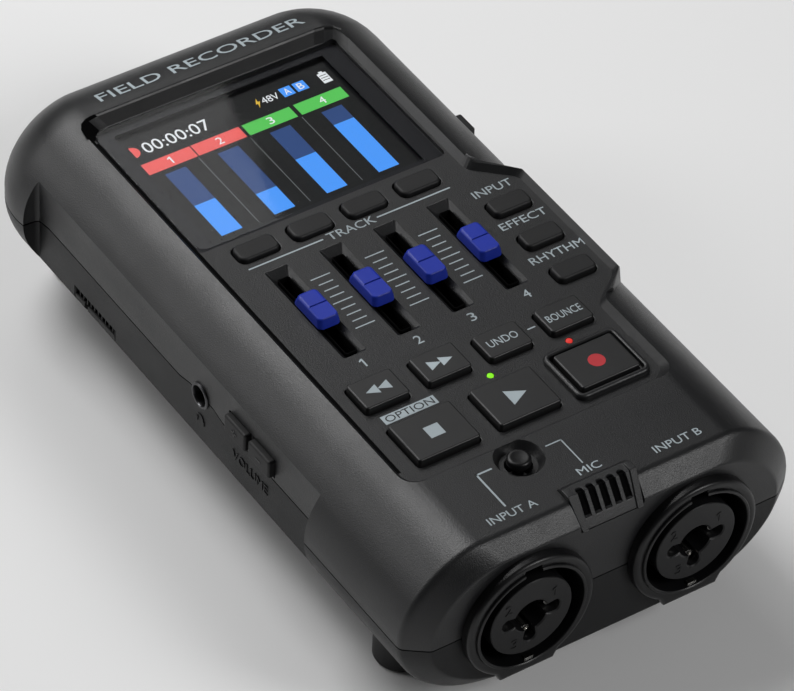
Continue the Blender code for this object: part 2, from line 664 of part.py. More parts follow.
def press_button(name, side, d, h, size, out, overhang):
    """A block through the side wall with a flange that stays inside it."""
    inner, edge, flange = INNER_HALF - 0.4, 0.4, 0.9

    def ring(x, grow_d, grow_h):
        a, b = size[0] / 2 + grow_d, size[1] / 2 + grow_h
        corners = [(d - a, h - b), (d + a, h - b), (d + a, h + b), (d - a, h + b)]
        return [(side * x, y, z) for y, z in corners][::side]

    rings = [ring(inner - flange, overhang, 0.6), ring(inner, overhang, 0.6), ring(inner, 0, 0)]
    rings += [ring(out - edge, 0, 0), ring(out, -edge, -edge)]
    pivot(loft(name, rings, RUBBER), (side * out, d, h))


def build_inside():
    tongue, start = 4.4, BARREL_DEPTH + 0.6
    half, nose, rear = 27, 8, 82
    outline = [
        (-half, start), (-tongue, start), (-tongue, nose), (tongue, nose),
        (tongue, start), (half, start), (half, rear), (-half, rear),
    ]
    loft("panel_board", [[(x, d, h) for x, d in outline] for h in (-6.6, -5.4)], BOARD)
    block("main_board", (-28, 28), (19, 110), (-10.8, -9.6), BOARD)
    front, rear = BATTERY_D
    tip_radius, tip_length = BATTERY_TIP
    shoulder = front + tip_length
    profile = [
        (tip_radius, front), (tip_radius, shoulder), (BATTERY_RADIUS, shoulder), (BATTERY_RADIUS, rear),
    ]
    for i, x in enumerate(BATTERY_X, 1):
        lathe(f"battery_{i}", "d", (x, 0, BATTERY_H), profile, WRAP, count=24)
    for name, d in (("contact_front", front - 1.2), ("contact_rear", rear + 0.4)):
        block(name, (-26, 26), (d, d + 0.8), (-26, -17), STEEL)
    lathe("speaker", "h", (10, 38, 0), [(9.0, -15.0), (9.0, -12.6), (6.0, -11.4)], BLACK)


def build_under():
    swollen = body("cut_swollen", 0.1)
    low = -BODY_DEPTH - FOOT_HEIGHT
    profile = [(FOOT_RADIUS - FOOT_EDGE, low), (FOOT_RADIUS, low + FOOT_EDGE), (FOOT_RADIUS, -20)]
    for name, x, d in FEET:
        foot = lathe(name, "h", (x, d, 0), profile, RUBBER, count=24)
        boolean(foot, swollen)
    face, inside = -BODY_DEPTH + 0.1, -27
    profile = [(NUT_RADIUS, face), (NUT_RADIUS, inside), (NUT_BORE, inside), (NUT_BORE, face)]
    lathe("tripod_nut", "h", (0, NUT_D, 0), profile, STEEL, closed=True)


def shade():
    """Shade the round faces of every piece smooth."""
    for obj in bpy.data.objects:
        if not obj.hide_render:
            obj.data.shade_smooth()
            obj.data.set_sharp_from_angle(angle=SHARP)


def main():
    for obj in list(bpy.data.objects):
        bpy.data.objects.remove(obj, do_unlink=True)
    body("cut_blank")
    build_shells()
    build_covers()
    build_screen()
    build_keys()
    build_faders()
    build_stick()
    build_lamps()
    build_grille()
    build_sockets()
    build_sides()
    build_inside()
    build_under()
    shade()


main()
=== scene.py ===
"""Looks for the portable four-track field recorder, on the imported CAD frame.

Shapes are placed in body coordinates, in millimetres: x across, d behind the
flat face that carries the sockets, h above the flat top of the recorder.
"""

import math

import bmesh
import bpy
from mathutils import Matrix, Vector


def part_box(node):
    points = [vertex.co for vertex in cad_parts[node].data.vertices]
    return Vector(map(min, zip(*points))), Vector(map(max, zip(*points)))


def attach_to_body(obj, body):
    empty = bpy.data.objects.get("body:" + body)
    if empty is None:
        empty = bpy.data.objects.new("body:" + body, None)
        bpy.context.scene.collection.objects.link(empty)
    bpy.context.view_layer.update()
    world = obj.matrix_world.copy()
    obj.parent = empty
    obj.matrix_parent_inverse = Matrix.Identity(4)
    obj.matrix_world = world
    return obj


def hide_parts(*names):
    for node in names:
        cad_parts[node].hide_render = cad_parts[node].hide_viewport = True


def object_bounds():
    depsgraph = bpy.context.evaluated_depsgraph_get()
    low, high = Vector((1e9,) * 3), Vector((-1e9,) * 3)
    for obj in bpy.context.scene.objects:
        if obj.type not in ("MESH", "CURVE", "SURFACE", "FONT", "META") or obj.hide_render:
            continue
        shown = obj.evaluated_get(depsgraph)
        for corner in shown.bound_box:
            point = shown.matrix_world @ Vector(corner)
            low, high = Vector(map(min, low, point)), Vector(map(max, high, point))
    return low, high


MM = 0.001
BODY_HALF, BODY_LENGTH, BODY_DEPTH = 37.2, 132.0, 32.0
WALL_SIDE, WALL_BOTTOM, DECK = 1.8, 2.0, 3.4
CHAMFER, CHAMFER_SIDE = 3.0, 4.0
TOP_CORNER, BOTTOM_CORNER, CORNER_POWER = (14.2, 14.5), (18.2, 16.0), 1.11
END_START, END_INSET = 119.0, (13.2, 9.0)
SEAM, SEAM_SIDE, GAP = -16.0, -14.8, 0.26
SIDE_FLAT, SIDE_START, SIDE_END, SIDE_STEP = 34.4, 30.0, 115.6, (1.2, 0.6)
STEP_SLOPE = math.radians(75)
INNER_HALF = SIDE_FLAT - WALL_SIDE
OUTSIDE = 50.0
FLOOR = -1.6
PANEL_HALF, PANEL_WIDE, PANEL_FRONT, PANEL_REAR = 24.6, 31.2, 20.2, 117.0
PANEL_CORNER, FAR_CORNER, STEP_CORNER = 3.0, 4.2, 1.3
PANEL_STEPS = (39.2, 44.2, 71.4, 77.4)   # where it widens to the shoulder, and where it narrows again
SHOULDER_HALF, SHOULDER_TOP = 32.2, -0.5
LENS_HALF, LENS_FRONT, LENS_REAR, LENS_TOP, LENS_THICK = 24.0, 82.4, 116.5, -1.4, 0.9
LCD_HALF, LCD_FRONT, LCD_REAR = 21.0, 83.8, 115.0
CLEAR = 0.25

# name, x, d, width, length, height of the top, corner radius
SOFT_KEYS = [
    ("soft_key_1", -15.7, 78.5, 7.6, 3.9, -0.8, 1.2),
    ("soft_key_2", -5.25, 78.5, 7.6, 3.9, -0.8, 1.2),
    ("soft_key_3", 5.25, 78.5, 7.6, 3.9, -0.8, 1.2),
    ("soft_key_4", 15.7, 78.5, 7.6, 3.9, -0.8, 1.2),
    ("input_key", 25.8, 66.4, 7.3, 3.8, -0.6, 1.0),
    ("effect_key", 25.8, 57.2, 7.3, 3.8, -0.6, 1.0),
    ("rhythm_key", 25.8, 48.0, 7.3, 3.8, -0.6, 1.0),
]
HARD_KEYS = [
    ("undo_key", 6.0, 39.4, 8.2, 5.9, -0.5, 0.7),
    ("bounce_key", 17.9, 39.4, 8.2, 5.9, -0.5, 0.7),
    ("rewind_key", -17.4, 40.0, 8.2, 6.3, -0.3, 0.5),
    ("forward_key", -5.6, 40.0, 8.2, 6.3, -0.3, 0.5),
    ("stop_key", -15.1, 27.5, 11.6, 9.2, -0.3, 0.5),
    ("play_key", 0.3, 27.5, 11.6, 9.2, -0.3, 0.5),
    ("record_key", 16.0, 27.5, 11.2, 8.6, -0.3, 0.5),
]
RECORD_FRAME = (16.0, 27.5, 14.2, 11.6)
FADER_X, FADER_D = (-15.4, -4.95, 5.5, 16.0), 60.7
FADER_SLOT, FADER_WELL = (2.2, 20.4), (4.4, 23.6)
CAP_SIZE, CAP_TOP, SLIDER_SIZE = (3.9, 7.2), 0.5, (1.7, 4.4)
STICK_X, STICK_D, BOWL_RADIUS, BOWL_FLOOR = -7.4, 15.3, 3.9, -1.6
KNOB_RADIUS, KNOB_TOP = 2.0, 0.25
LAMPS = [("green_lamp", 0.3, 34.4), ("red_lamp", 15.7, 34.6)]
LAMP_RADIUS = 0.55
GRILLE_TOP_HALF, GRILLE_BOTTOM_HALF = 6.5, 5.8
GRILLE_SIDE = [(-0.4, -4.0), (6.2, -4.0), (6.2, 0.2), (5.2, 1.0), (3.4, 1.0)]
GRILLE_OPENING = [(-1.2, -4.2), (6.4, -4.2), (6.4, 1.4), (5.2, 2.2), (3.0, 2.2)]
GRILLE_CHANNEL = [(-0.9, -4.2), (-0.05, -4.0), (3.55, 0.7), (7.0, 0.7), (7.0, 3.0), (-0.9, 3.0)]
SLOT_COUNT, SLOT_PITCH, SLOT_WIDTH = 5, 1.95, 1.2
SOCKET_X, SOCKET_H, RIM_PROUD = 15.75, -15.7, 2.3
RIM_RADIUS, RIM_FLAT, BORE_RADIUS, INSERT_RADIUS = 11.9, 12.05, 9.7, 7.65
BARREL_RADIUS, BARREL_DEPTH = 11.0, 16.0
RIM_LIP = [                  # the rim's inner lip: back from its front, out from the bore
    (0.5, 0), (0.12, 0.08), (0, 0.2), (0, 0.5), (0.1, 0.62), (0.42, 0.68), (0.38, 0.85),
]
RIM_EDGE = [                 # its outer edge: back, in from the rim, half the foot's flat, up from the flat
    (0.3, 0.8, 5.0, 0.75), (0.4, 0.4, 5.3, 0.35), (0.62, 0.14, 5.5, 0.12), (1.0, 0, 5.6, 0),
]
PLUG_RADIUS, PIN_CIRCLE, PIN_RADIUS = 3.1, 4.2, 1.25
PIN_SLEEVE = [(0.4, 10), (0.4, 0.2), (0.62, -0.3), (0.85, -0.3), (0.85, 10)]   # radius, along
LATCH_SIZE = [(-0.5, 1.1), (-1.75, -0.9), (-9.66, -9.4)]   # the bright latch under each insert: x, d, h
JACK_D, JACK_H, JACK_RADIUS, JACK_BORE, JACK_FLANGE = 65.0, -14.0, 2.1, 1.75, 2.4
SLIT_TALL, SLIT_NOTCH, SLIT_RIB = 1.3, 3.0, 1.15   # the finger slit of the port cover
VOLUME = [("volume_up", 53.3), ("volume_down", 46.2)]
VOLUME_H, VOLUME_SIZE, VOLUME_OUT = -12.2, (6.2, 3.6), 35.6
SIGN_SIZE = (0.75, 0.14)   # half the length and width of a stroke of the plus and minus signs
SWITCH_D, SWITCH_H, SWITCH_SIZE, SWITCH_OUT = 92.8, -9.2, (4.6, 3.8), 36.0
SWITCH_TRAVEL = 3.0
COVERS = [
    ("port_cover", -1, (91.6, 104.2), (-26.4, -21.2)),
    ("card_cover", 1, (60.0, 80.0), (-25.6, -19.4)),
]
HATCH_HALF, HATCH_FRONT, HATCH_REAR = 27.5, 58.5, 115.5
NUT_D, NUT_RADIUS = 45.0, 5.0
FOOT_RADIUS, FOOT_HEIGHT = 4.5, 4.5
FEET = [
    ("foot_front_left", -26, 18), ("foot_front_right", 26, 18),
    ("foot_rear_left", -23, 122), ("foot_rear_right", 23, 122),
]

FRONT = "front"          # the side that the sockets are on, for lettering

CAMERA_AZIMUTH, CAMERA_ELEVATION, CAMERA_ROLL = -35.83, 43.136, 3.33
CAMERA_PLACE = (-0.36656, -0.51285, 0.60786)
CAMERA_LENS = 238.4

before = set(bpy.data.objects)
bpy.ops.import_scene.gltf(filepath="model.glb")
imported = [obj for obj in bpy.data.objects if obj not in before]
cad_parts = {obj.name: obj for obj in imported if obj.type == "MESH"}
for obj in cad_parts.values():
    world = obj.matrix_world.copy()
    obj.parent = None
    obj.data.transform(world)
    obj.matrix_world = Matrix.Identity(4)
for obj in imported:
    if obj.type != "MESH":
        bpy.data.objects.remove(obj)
cad_box = [list(corner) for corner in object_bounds()]
ORIGIN_D = (BODY_LENGTH - RIM_PROUD) / 2
ORIGIN_H = cad_box[1][2] / MM - 1.0      # the grille stands 1 mm above the flat top


def place(point):
    x, d, h = point
    return Vector((x * MM, (d - ORIGIN_D) * MM, (h + ORIGIN_H) * MM))


# ---------------------------------------------------------------- materials

def srgb(red, green, blue):
    """Display values from 0 to 255 as linear light."""
    shares = [v / 255 for v in (red, green, blue)]
    return tuple(((v + 0.055) / 1.055) ** 2.4 if v > 0.04 else v / 12.92 for v in shares)


class Nodes:
    """A node material under construction."""

    def __init__(self, name):
        self.material = bpy.data.materials.new(name)
        self.material.use_nodes = True
        self.tree = self.material.node_tree
        self.shader = self.tree.nodes["Principled BSDF"]
        self.output = self.tree.nodes["Material Output"]
        self.coords = self.add("TexCoord")

    def add(self, kind, links=(), **values):
        node = self.tree.nodes.new("ShaderNode" + kind)
        for key, value in values.items():
            if key in node.inputs:
                node.inputs[key].default_value = value
            else:
                setattr(node, key, value)
        for source, target in links:
            self.tree.links.new(source, node.inputs[target])
        return node

    def link(self, source, node, target):
        self.tree.links.new(source, node.inputs[target])

    def noise(self, scale, detail=2.0, roughness=0.5, stretch=None):
        vector = self.coords.outputs["Object"]
        if stretch:
            scaled = self.add("Mapping", [(vector, "Vector")])
            scaled.inputs["Scale"].default_value = stretch
            vector = scaled.outputs["Vector"]
        node = self.add("TexNoise", [(vector, "Vector")], Scale=scale, Detail=detail)
        node.inputs["Roughness"].default_value = roughness
        return node.outputs["Fac"]

    def span(self, source, low, high, start=0.0, end=1.0):
        """Maps low..high of source to start..end."""
        node = self.add("MapRange", [(source, "Value")])
        for key, value in zip(("From Min", "From Max", "To Min", "To Max"), (low, high, start, end)):
            node.inputs[key].default_value = value
        return node.outputs["Result"]

    def blend(self, factor, first, second):
        node = self.add("Mix", [(factor, "Factor")], data_type="RGBA")
        for socket, colour in ((node.inputs[6], first), (node.inputs[7], second)):
            socket.default_value = (*colour, 1)
        return node.outputs[2]

    def bump(self, height, distance, strength=1.0, under=None):
        node = self.add("Bump", [(height, "Height")], Strength=strength, Distance=distance)
        if under is not None:
            self.link(under, node, "Normal")
        return node.outputs["Normal"]


def plastic(name, colour, roughness, grain=0.16, depth=0.012, spread=0.08, gloss=0.5):
    """Moulded plastic: a spark-eroded grain, handling marks in the gloss and a
    faint unevenness of colour. grain and depth are in millimetres."""
    n = Nodes(name)
    fine = n.noise(1000 / grain, 3.0, 0.6)
    broad = n.noise(55.0, 3.0)
    darker = tuple(c * 0.88 for c in colour)
    lighter = tuple(c * 1.14 for c in colour)
    n.link(n.blend(n.span(broad, 0.3, 0.7), darker, lighter), n.shader, "Base Color")
    smears = n.noise(140.0, 4.0, 0.6, (1, 0.45, 1))
    uneven = n.span(smears, 0.3, 0.7, -spread, spread)
    rough = n.add("Math", [(uneven, 0), (n.span(fine, 0.3, 0.7, -0.05, 0.05), 1)], operation="ADD")
    total = n.add("Math", [(rough.outputs[0], 0)], operation="ADD")
    total.inputs[1].default_value = roughness
    n.link(total.outputs[0], n.shader, "Roughness")
    n.link(n.bump(fine, depth * MM), n.shader, "Normal")
    n.shader.inputs["Specular IOR Level"].default_value = gloss
    return n.material


def metal(name, colour, roughness, grain=0.12):
    """Plated metal with fine turning marks and slight tarnish."""
    n = Nodes(name)
    fine = n.noise(1000 / grain, 2.0)
    broad = n.noise(300.0, 3.0)
    n.link(n.blend(n.span(broad, 0.3, 0.75), colour, tuple(c * 0.72 for c in colour)), n.shader, "Base Color")
    n.link(n.span(broad, 0.3, 0.7, roughness - 0.06, roughness + 0.1), n.shader, "Roughness")
    n.link(n.bump(fine, 0.003 * MM), n.shader, "Normal")
    n.shader.inputs["Metallic"].default_value = 1.0
    return n.material


def glowing(name, colour, strength=1.0):
    """A lit part of the display, with the faint rows of its pixels."""
    n = Nodes(name)
    rows = n.add("TexWave", [(n.coords.outputs["Object"], "Vector")], Scale=1250.0, bands_direction="Y")
    tint = n.blend(n.span(rows.outputs["Fac"], 0.0, 1.0), tuple(c * 0.93 for c in colour), colour)
    n.link(tint, n.shader, "Emission Color")
    n.shader.inputs["Emission Strength"].default_value = strength
    n.shader.inputs["Base Color"].default_value = (0.004, 0.004, 0.004, 1)
    n.shader.inputs["Specular IOR Level"].default_value = 0.2
    n.link(n.span(n.noise(900.0), 0.3, 0.7, 0.35, 0.5), n.shader, "Roughness")
    return n.material


def window_glass(name):
    """A clear hard-coated window: it mirrors on its outer faces only."""
    n = Nodes(name)
    n.tree.nodes.remove(n.shader)
    faces = n.add("NewGeometry")
    mirror = n.add("Fresnel", IOR=1.21)
    outer = n.add("Math", [(faces.outputs["Backfacing"], 1)], operation="SUBTRACT")
    outer.inputs[0].default_value = 1.0
    factor = n.add("Math", [(mirror.outputs[0], 0), (outer.outputs[0], 1)], operation="MULTIPLY")
    clear = n.add("BsdfTransparent", Color=(0.97, 0.975, 0.98, 1))
    gloss = n.add("BsdfGlossy", Color=(1, 1, 1, 1))
    n.link(n.span(n.noise(120.0, 3.0), 0.35, 0.7, 0.02, 0.06), gloss, "Roughness")
    both = n.add("MixShader", [(factor.outputs[0], 0), (clear.outputs[0], 1), (gloss.outputs[0], 2)])
    n.link(both.outputs[0], n.output, "Surface")
    return n.material


def studio_floor(name):
    n = Nodes(name)
    n.link(n.blend(n.noise(3.0, 3.0), (0.86, 0.86, 0.86), (0.90, 0.90, 0.90)), n.shader, "Base Color")
    n.shader.inputs["Roughness"].default_value = 0.9
    n.shader.inputs["Specular IOR Level"].default_value = 0.1
    return n.material


CASE = plastic("case_plastic", (0.0105, 0.0107, 0.0115), 0.37, 0.22, 0.045, 0.05, 0.42)
# Painted shade: a darker, less glossy copy of the case plastic for the lower shell and the hatch, lettering
# and symbol on it, because the lamps above leave the lower half darker.
SHADED_CASE = plastic("case_plastic_shaded_low", (0.0075, 0.0077, 0.0082), 0.42, 0.22, 0.045, 0.05, 0.22)
PANEL_RUBBER = plastic("key_rubber", (0.008, 0.008, 0.0085), 0.55, 0.12, 0.008, 0.05, 0.35)
KEYCAP = plastic("key_plastic", (0.0085, 0.0085, 0.009), 0.42, 0.14, 0.008, 0.05, 0.45)
# Painted highlight: a lighter copy of the case plastic, laid on the right sloping edge of the sunk panel.
PAINTED_HIGHLIGHT = plastic("painted_highlight_plastic", (0.022, 0.022, 0.0235), 0.42, 0.26, 0.04, 0.05, 0.5)
BLACK = plastic("black_plastic", (0.004, 0.004, 0.0045), 0.36, 0.14, 0.006, 0.05, 0.35)
INSERT = plastic("insert_plastic", (0.006, 0.006, 0.0065), 0.40, 0.14, 0.006, 0.05, 0.3)
# Painted shade: near-black and matt, for the fader slots and track, the grille and finger slits, and the
# strip and sloping edge on the panel's left, where only shade falls.
VOID = plastic("painted_shade_black", (0.0015, 0.0015, 0.0016), 0.8, 0.3, 0.006, 0.05, 0.04)
BLUE = plastic("blue_plastic", (0.014, 0.032, 0.33), 0.36, 0.12, 0.004, 0.05, 0.22)
INK = plastic("grey_ink", srgb(165, 176, 181), 0.55, 0.1, 0.003, 0.05, 0.3)
RED_INK = plastic("red_ink", srgb(182, 52, 58), 0.5, 0.1, 0.003, 0.05, 0.3)
MASK = plastic("mask_ink", (0.008, 0.008, 0.010), 0.42, 0.3, 0.0002, 0.03, 0.2)
STEEL = metal("plated_steel", (0.55, 0.55, 0.56), 0.32)
BRASS = metal("gold_plate", (0.75, 0.58, 0.30), 0.28)
BRIGHT = metal("contact_plating", (0.92, 0.90, 0.86), 0.2)
DARK_METAL = metal("dark_plating", (0.10, 0.10, 0.105), 0.34)
WRAP = plastic("battery_wrap", (0.05, 0.16, 0.30), 0.35, 0.3, 0.004)
BOARD = plastic("circuit_board", (0.02, 0.12, 0.06), 0.45, 0.3, 0.01)
GLASS = window_glass("window_glass")
UI_RED = glowing("display_red", srgb(240, 96, 92))
UI_GREEN = glowing("display_green", srgb(88, 200, 88))
UI_DIM = glowing("display_dim_blue", srgb(40, 70, 124))
UI_BLUE = glowing("display_blue", srgb(74, 156, 255))
UI_WHITE = glowing("display_white", srgb(235, 238, 240))
UI_GREY = glowing("display_grey", srgb(105, 110, 112))
UI_YELLOW = glowing("display_yellow", srgb(230, 190, 60))
UI_BACK = glowing("display_black", (0.0002, 0.0002, 0.0003))
GREEN_GLOW = glowing("green_light", (0.25, 0.85, 0.02), 1.1)
RED_GLOW = glowing("red_light", (0.9, 0.05, 0.04), 0.8)


# ---------------------------------------------------------------- mesh tools

def make(name, points, faces, material=None):
    """An object of these faces, turned outwards. Without a material it is a tool
    for cutting, and is removed once used."""
    bm = bmesh.new()
    corners = [bm.verts.new(place(p)) for p in points]
    for face in faces:
        bm.faces.new([corners[i] for i in face])
    if bm.calc_volume(signed=True) < 0:
        bmesh.ops.reverse_faces(bm, faces=bm.faces)
    mesh = bpy.data.meshes.new(name)
    bm.to_mesh(mesh)
    bm.free()
    obj = bpy.data.objects.new(name, mesh)
    bpy.context.scene.collection.objects.link(obj)
    if material:
        mesh.materials.append(material)
    return obj


def loft(name, rings, material=None, closed=False):
    """A solid through equal rings, capped at both ends, or joined end to end."""
    count = len(rings[0])
    points = [p for ring in rings for p in ring]
    faces = []
    for i in range(len(rings) - (not closed)):
        a, b = i * count, (i + 1) % len(rings) * count
        for j in range(count):
            k = (j + 1) % count
            faces.append((a + j, a + k, b + k, b + j))
    if not closed:
        last = (len(rings) - 1) * count
        faces.append(tuple(reversed(range(count))))
        faces.append(tuple(range(last, last + count)))
    return make(name, points, faces, material)


def rounded(x, d, width, length, radius, h, steps=6):
    ring = []
    for quarter, (sx, sd) in enumerate(((1, 1), (-1, 1), (-1, -1), (1, -1))):
        for step in range(steps + 1):
            turn = math.pi / 2 * (quarter + step / steps)
            across = sx * (width / 2 - radius) + radius * math.cos(turn)
            along = sd * (length / 2 - radius) + radius * math.sin(turn)
            ring.append((x + across, d + along, h))
    return ring


def block(name, x, d, h, material=None):
    rings = [[(x[1], d[0], z), (x[1], d[1], z), (x[0], d[1], z), (x[0], d[0], z)] for z in h]
    return loft(name, rings, material)


def circle(axis, centre, radius, along, count=48):
    ring = []
    x, d, h = centre
    for i in range(count):
        c, s = radius * math.cos(2 * math.pi * i / count), radius * math.sin(2 * math.pi * i / count)
        spots = {"x": (along, d + c, h + s), "d": (x + s, along, h + c), "h": (x + c, d + s, along)}
        ring.append(spots[axis])
    return ring


def lathe(name, axis, centre, profile, material=None, closed=False, count=48):
    return loft(name, [circle(axis, centre, r, along, count) for r, along in profile], material, closed)


def evaluate(obj):
    """Apply the object's modifiers."""
    graph = bpy.context.evaluated_depsgraph_get()
    mesh = bpy.data.meshes.new_from_object(obj.evaluated_get(graph))
    obj.modifiers.clear()
    obj.data = mesh


def join(objects):
    """The meshes of these objects in the first of them."""
    first, rest = objects[0], objects[1:]
    if not rest:
        return first
    chosen = {"active_object": first, "selected_editable_objects": objects, "selected_objects": objects}
    with bpy.context.temp_override(**chosen):
        bpy.ops.object.join()
    return first


def boolean(obj, tools, operation="DIFFERENCE"):
    """Cut, unite or intersect obj with the tools, which are used up."""
    tool = join(tools)
    cut = obj.modifiers.new("boolean", "BOOLEAN")
    cut.operation = operation
    cut.solver = "EXACT"
    cut.use_self = len(tools) > 1
    cut.object = tool
    evaluate(obj)
    bpy.data.objects.remove(tool)
    return obj


def smooth(obj, angle=32.0, bevel=0.0, segments=3):
    """Round the edges by `bevel` millimetres and shade what is left smooth."""
    if bevel:
        edge = obj.modifiers.new("edges", "BEVEL")
        edge.width = bevel * MM
        edge.segments = segments
        edge.limit_method = "ANGLE"
        edge.angle_limit = math.radians(35)
        evaluate(obj)
    obj.data.shade_smooth()
    obj.data.set_sharp_from_angle(angle=math.radians(angle))
    normals = obj.modifiers.new("normals", "WEIGHTED_NORMAL")
    normals.keep_sharp = True
    normals.mode = "FACE_AREA"
    return obj


def attach(obj, body, slot, *nodes):
    """Ride on a body and stand for CAD nodes, which are hidden. The slot is not used."""
    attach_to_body(obj, body)
    if nodes:
        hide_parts(*nodes)
    return obj


def text_mesh(words, centre, width, height, material, thick=0.03, side=None):
    """Raised lettering filling width by height, flat on the top, or on the
    left (-1) or right (1) side."""
    curve = bpy.data.curves.new("words", "FONT")
    curve.body = words
    curve.resolution_u = 3
    obj = bpy.data.objects.new("words", curve)
    bpy.context.scene.collection.objects.link(obj)
    graph = bpy.context.evaluated_depsgraph_get()
    mesh = bpy.data.meshes.new_from_object(obj.evaluated_get(graph))
    bpy.data.objects.remove(obj)
    low = [min(v.co[i] for v in mesh.vertices) for i in (0, 1)]
    high = [max(v.co[i] for v in mesh.vertices) for i in (0, 1)]
    spans = [high[i] - low[i] for i in (0, 1)]
    bm = bmesh.new()
    bm.from_mesh(mesh)
    for vert in bm.verts:
        across = ((vert.co[0] - low[0]) / spans[0] - 0.5) * width
        up = ((vert.co[1] - low[1]) / spans[1] - 0.5) * height
        vert.co = flat_point(centre, across, up, side)
    extrude(bm, thick, side)
    return bm_object("words", bm, material)


def flat_point(centre, across, up, side):
    x, d, h = centre
    if side is None:
        return place((x + across, d + up, h))
    if side == FRONT:
        return place((x + across, d, h + up))
    return place((x, d + side * across, h + up))


def numeral(number, centre, height, material, thick=0.03, side=None):
    """A figure, with a proper flag on the 1, which the font draws as a bar."""
    if number > 1:
        return text_mesh(str(number), centre, 0.66 * height, height, material, thick, side)
    points = [(0.04, -0.5), (0.2, -0.5), (0.2, 0.5), (0.06, 0.5), (-0.2, 0.33), (-0.2, 0.17), (0.04, 0.3)]
    bm = bmesh.new()
    bm.faces.new([bm.verts.new(flat_point(centre, a * height, b * height, side)) for a, b in points])
    extrude(bm, thick, side)
    return bm_object("one", bm, material)


def extrude(bm, thick, side):
    """Give flat faces some thickness, half of it sunk in."""
    out = {None: Vector((0, 0, 1)), FRONT: Vector((0, -1, 0))}.get(side)
    if out is None:
        out = Vector((side, 0, 0))
    made = bmesh.ops.extrude_face_region(bm, geom=bm.faces[:])
    moved = [v for v in made["geom"] if isinstance(v, bmesh.types.BMVert)]
    bmesh.ops.translate(bm, verts=moved, vec=out * thick * MM)
    bmesh.ops.translate(bm, verts=bm.verts[:], vec=-out * thick / 2 * MM)
    bmesh.ops.recalc_face_normals(bm, faces=bm.faces[:])


def bm_object(name, bm, material):
    mesh = bpy.data.meshes.new(name)
    bm.to_mesh(mesh)
    bm.free()
    mesh.materials.append(material)
    obj = bpy.data.objects.new(name, mesh)
    bpy.context.scene.collection.objects.link(obj)
    return obj


def flat_shape(outline, h, material, thick=0.03, side=None, x=0.0):
    """A thin plate of this outline: (x, d) pairs on the top at h, or (d, h)
    pairs on a side at x."""
    bm = bmesh.new()
    if side is None:
        corners = [bm.verts.new(place((px, pd, h))) for px, pd in outline]
    else:
        corners = [bm.verts.new(place((x, pd, ph))) for pd, ph in outline]
    bm.faces.new(corners)
    extrude(bm, thick, side)
    return bm_object("plate", bm, material)


def bar(x, d, h, material, thick=0.03):
    return flat_shape([(x[0], d[0]), (x[1], d[0]), (x[1], d[1]), (x[0], d[1])], h, material, thick)


def disc(x, d, radius, h, material, thick=0.03, start=0.0, end=2 * math.pi, count=32):
    turns = [start + (end - start) * i / count for i in range(count + (end - start < 6.2))]
    outline = [(x + radius * math.cos(t), d + radius * math.sin(t)) for t in turns]
    return flat_shape(outline, h, material, thick)


# ---------------------------------------------------------------- the case

def flattened(value, power):
    return math.copysign(abs(value) ** power, value)


def section(d, half, top, bottom, top_corner, bottom_corner, steps=16, power=CORNER_POWER):
    """A cross-section of the body, with corners given as (across, down)."""
    ring = []
    corners = (
        (1, top - top_corner[1], top_corner, 0),
        (-1, top - top_corner[1], top_corner, 1),
        (-1, bottom + bottom_corner[1], bottom_corner, 2),
        (1, bottom + bottom_corner[1], bottom_corner, 3),
    )
    for side, h, (across, down), quarter in corners:
        for step in range(steps + 1):
            turn = math.pi / 2 * (quarter + step / steps)
            x = side * (half - across) + across * flattened(math.cos(turn), power)
            ring.append((x, d, h + down * flattened(math.sin(turn), power)))
    return ring[::-1]


def body(name, material=None, grow=0.0):
    """The outside of the recorder: a band with softened edges round the socket
    face, straight sides, and a rounded far end."""
    half, top, bottom = BODY_HALF + grow, grow, -BODY_DEPTH - grow
    band = [(0.0, 1.09), (0.06, 1.03), (0.25, 0.93), (2.3, 0.24), (2.75, 0.10), (3.2, 0.03), (3.8, 0.0)]
    rings = []
    for d, inset in band:
        rings.append(
            section(
                d, half - CHAMFER_SIDE * inset, top - CHAMFER * inset, bottom + CHAMFER * inset,
                (TOP_CORNER[0] - inset, TOP_CORNER[1] - 2.2 * inset),
                (BOTTOM_CORNER[0] - 1.5 * inset, BOTTOM_CORNER[1] - 3.2 * inset),
            )
        )
    steps = 14
    for step in range(steps + 1):
        turn = math.pi / 2 * step / steps
        sides, ends = (inset * (1 - math.cos(turn)) for inset in END_INSET)
        d = END_START + (BODY_LENGTH + grow - END_START) * math.sin(turn)
        shrink = 1 - 0.5 * (1 - math.cos(turn))
        rings.append(
            section(
                d, half - sides, top - ends, bottom + ends,
                (TOP_CORNER[0] * shrink, TOP_CORNER[1] * shrink - 0.4 * ends),
                (BOTTOM_CORNER[0] * shrink, BOTTOM_CORNER[1] * shrink - 0.4 * ends),
            )
        )
    return loft(name, rings, material)


def cavity():
    half, top, bottom = INNER_HALF, -DECK, -BODY_DEPTH + WALL_BOTTOM
    sections = [
        (2.2, half - 2, top - 1.5, bottom + 1.5, (10, 9), (13, 12)),
        (6.0, half, top, bottom, (11, 11.5), (14, 14)),
        (END_START, half, top, bottom, (11, 11.5), (14, 14)),
        (BODY_LENGTH - 7, half - 6, top - 4.5, bottom + 4.5, (9, 8), (10, 9)),
        (BODY_LENGTH - 2.5, half - 12, top - 8, bottom + 8, (6, 4), (6, 4)),
    ]
    return loft("tool", [section(*sizes, steps=5, power=1) for sizes in sections])


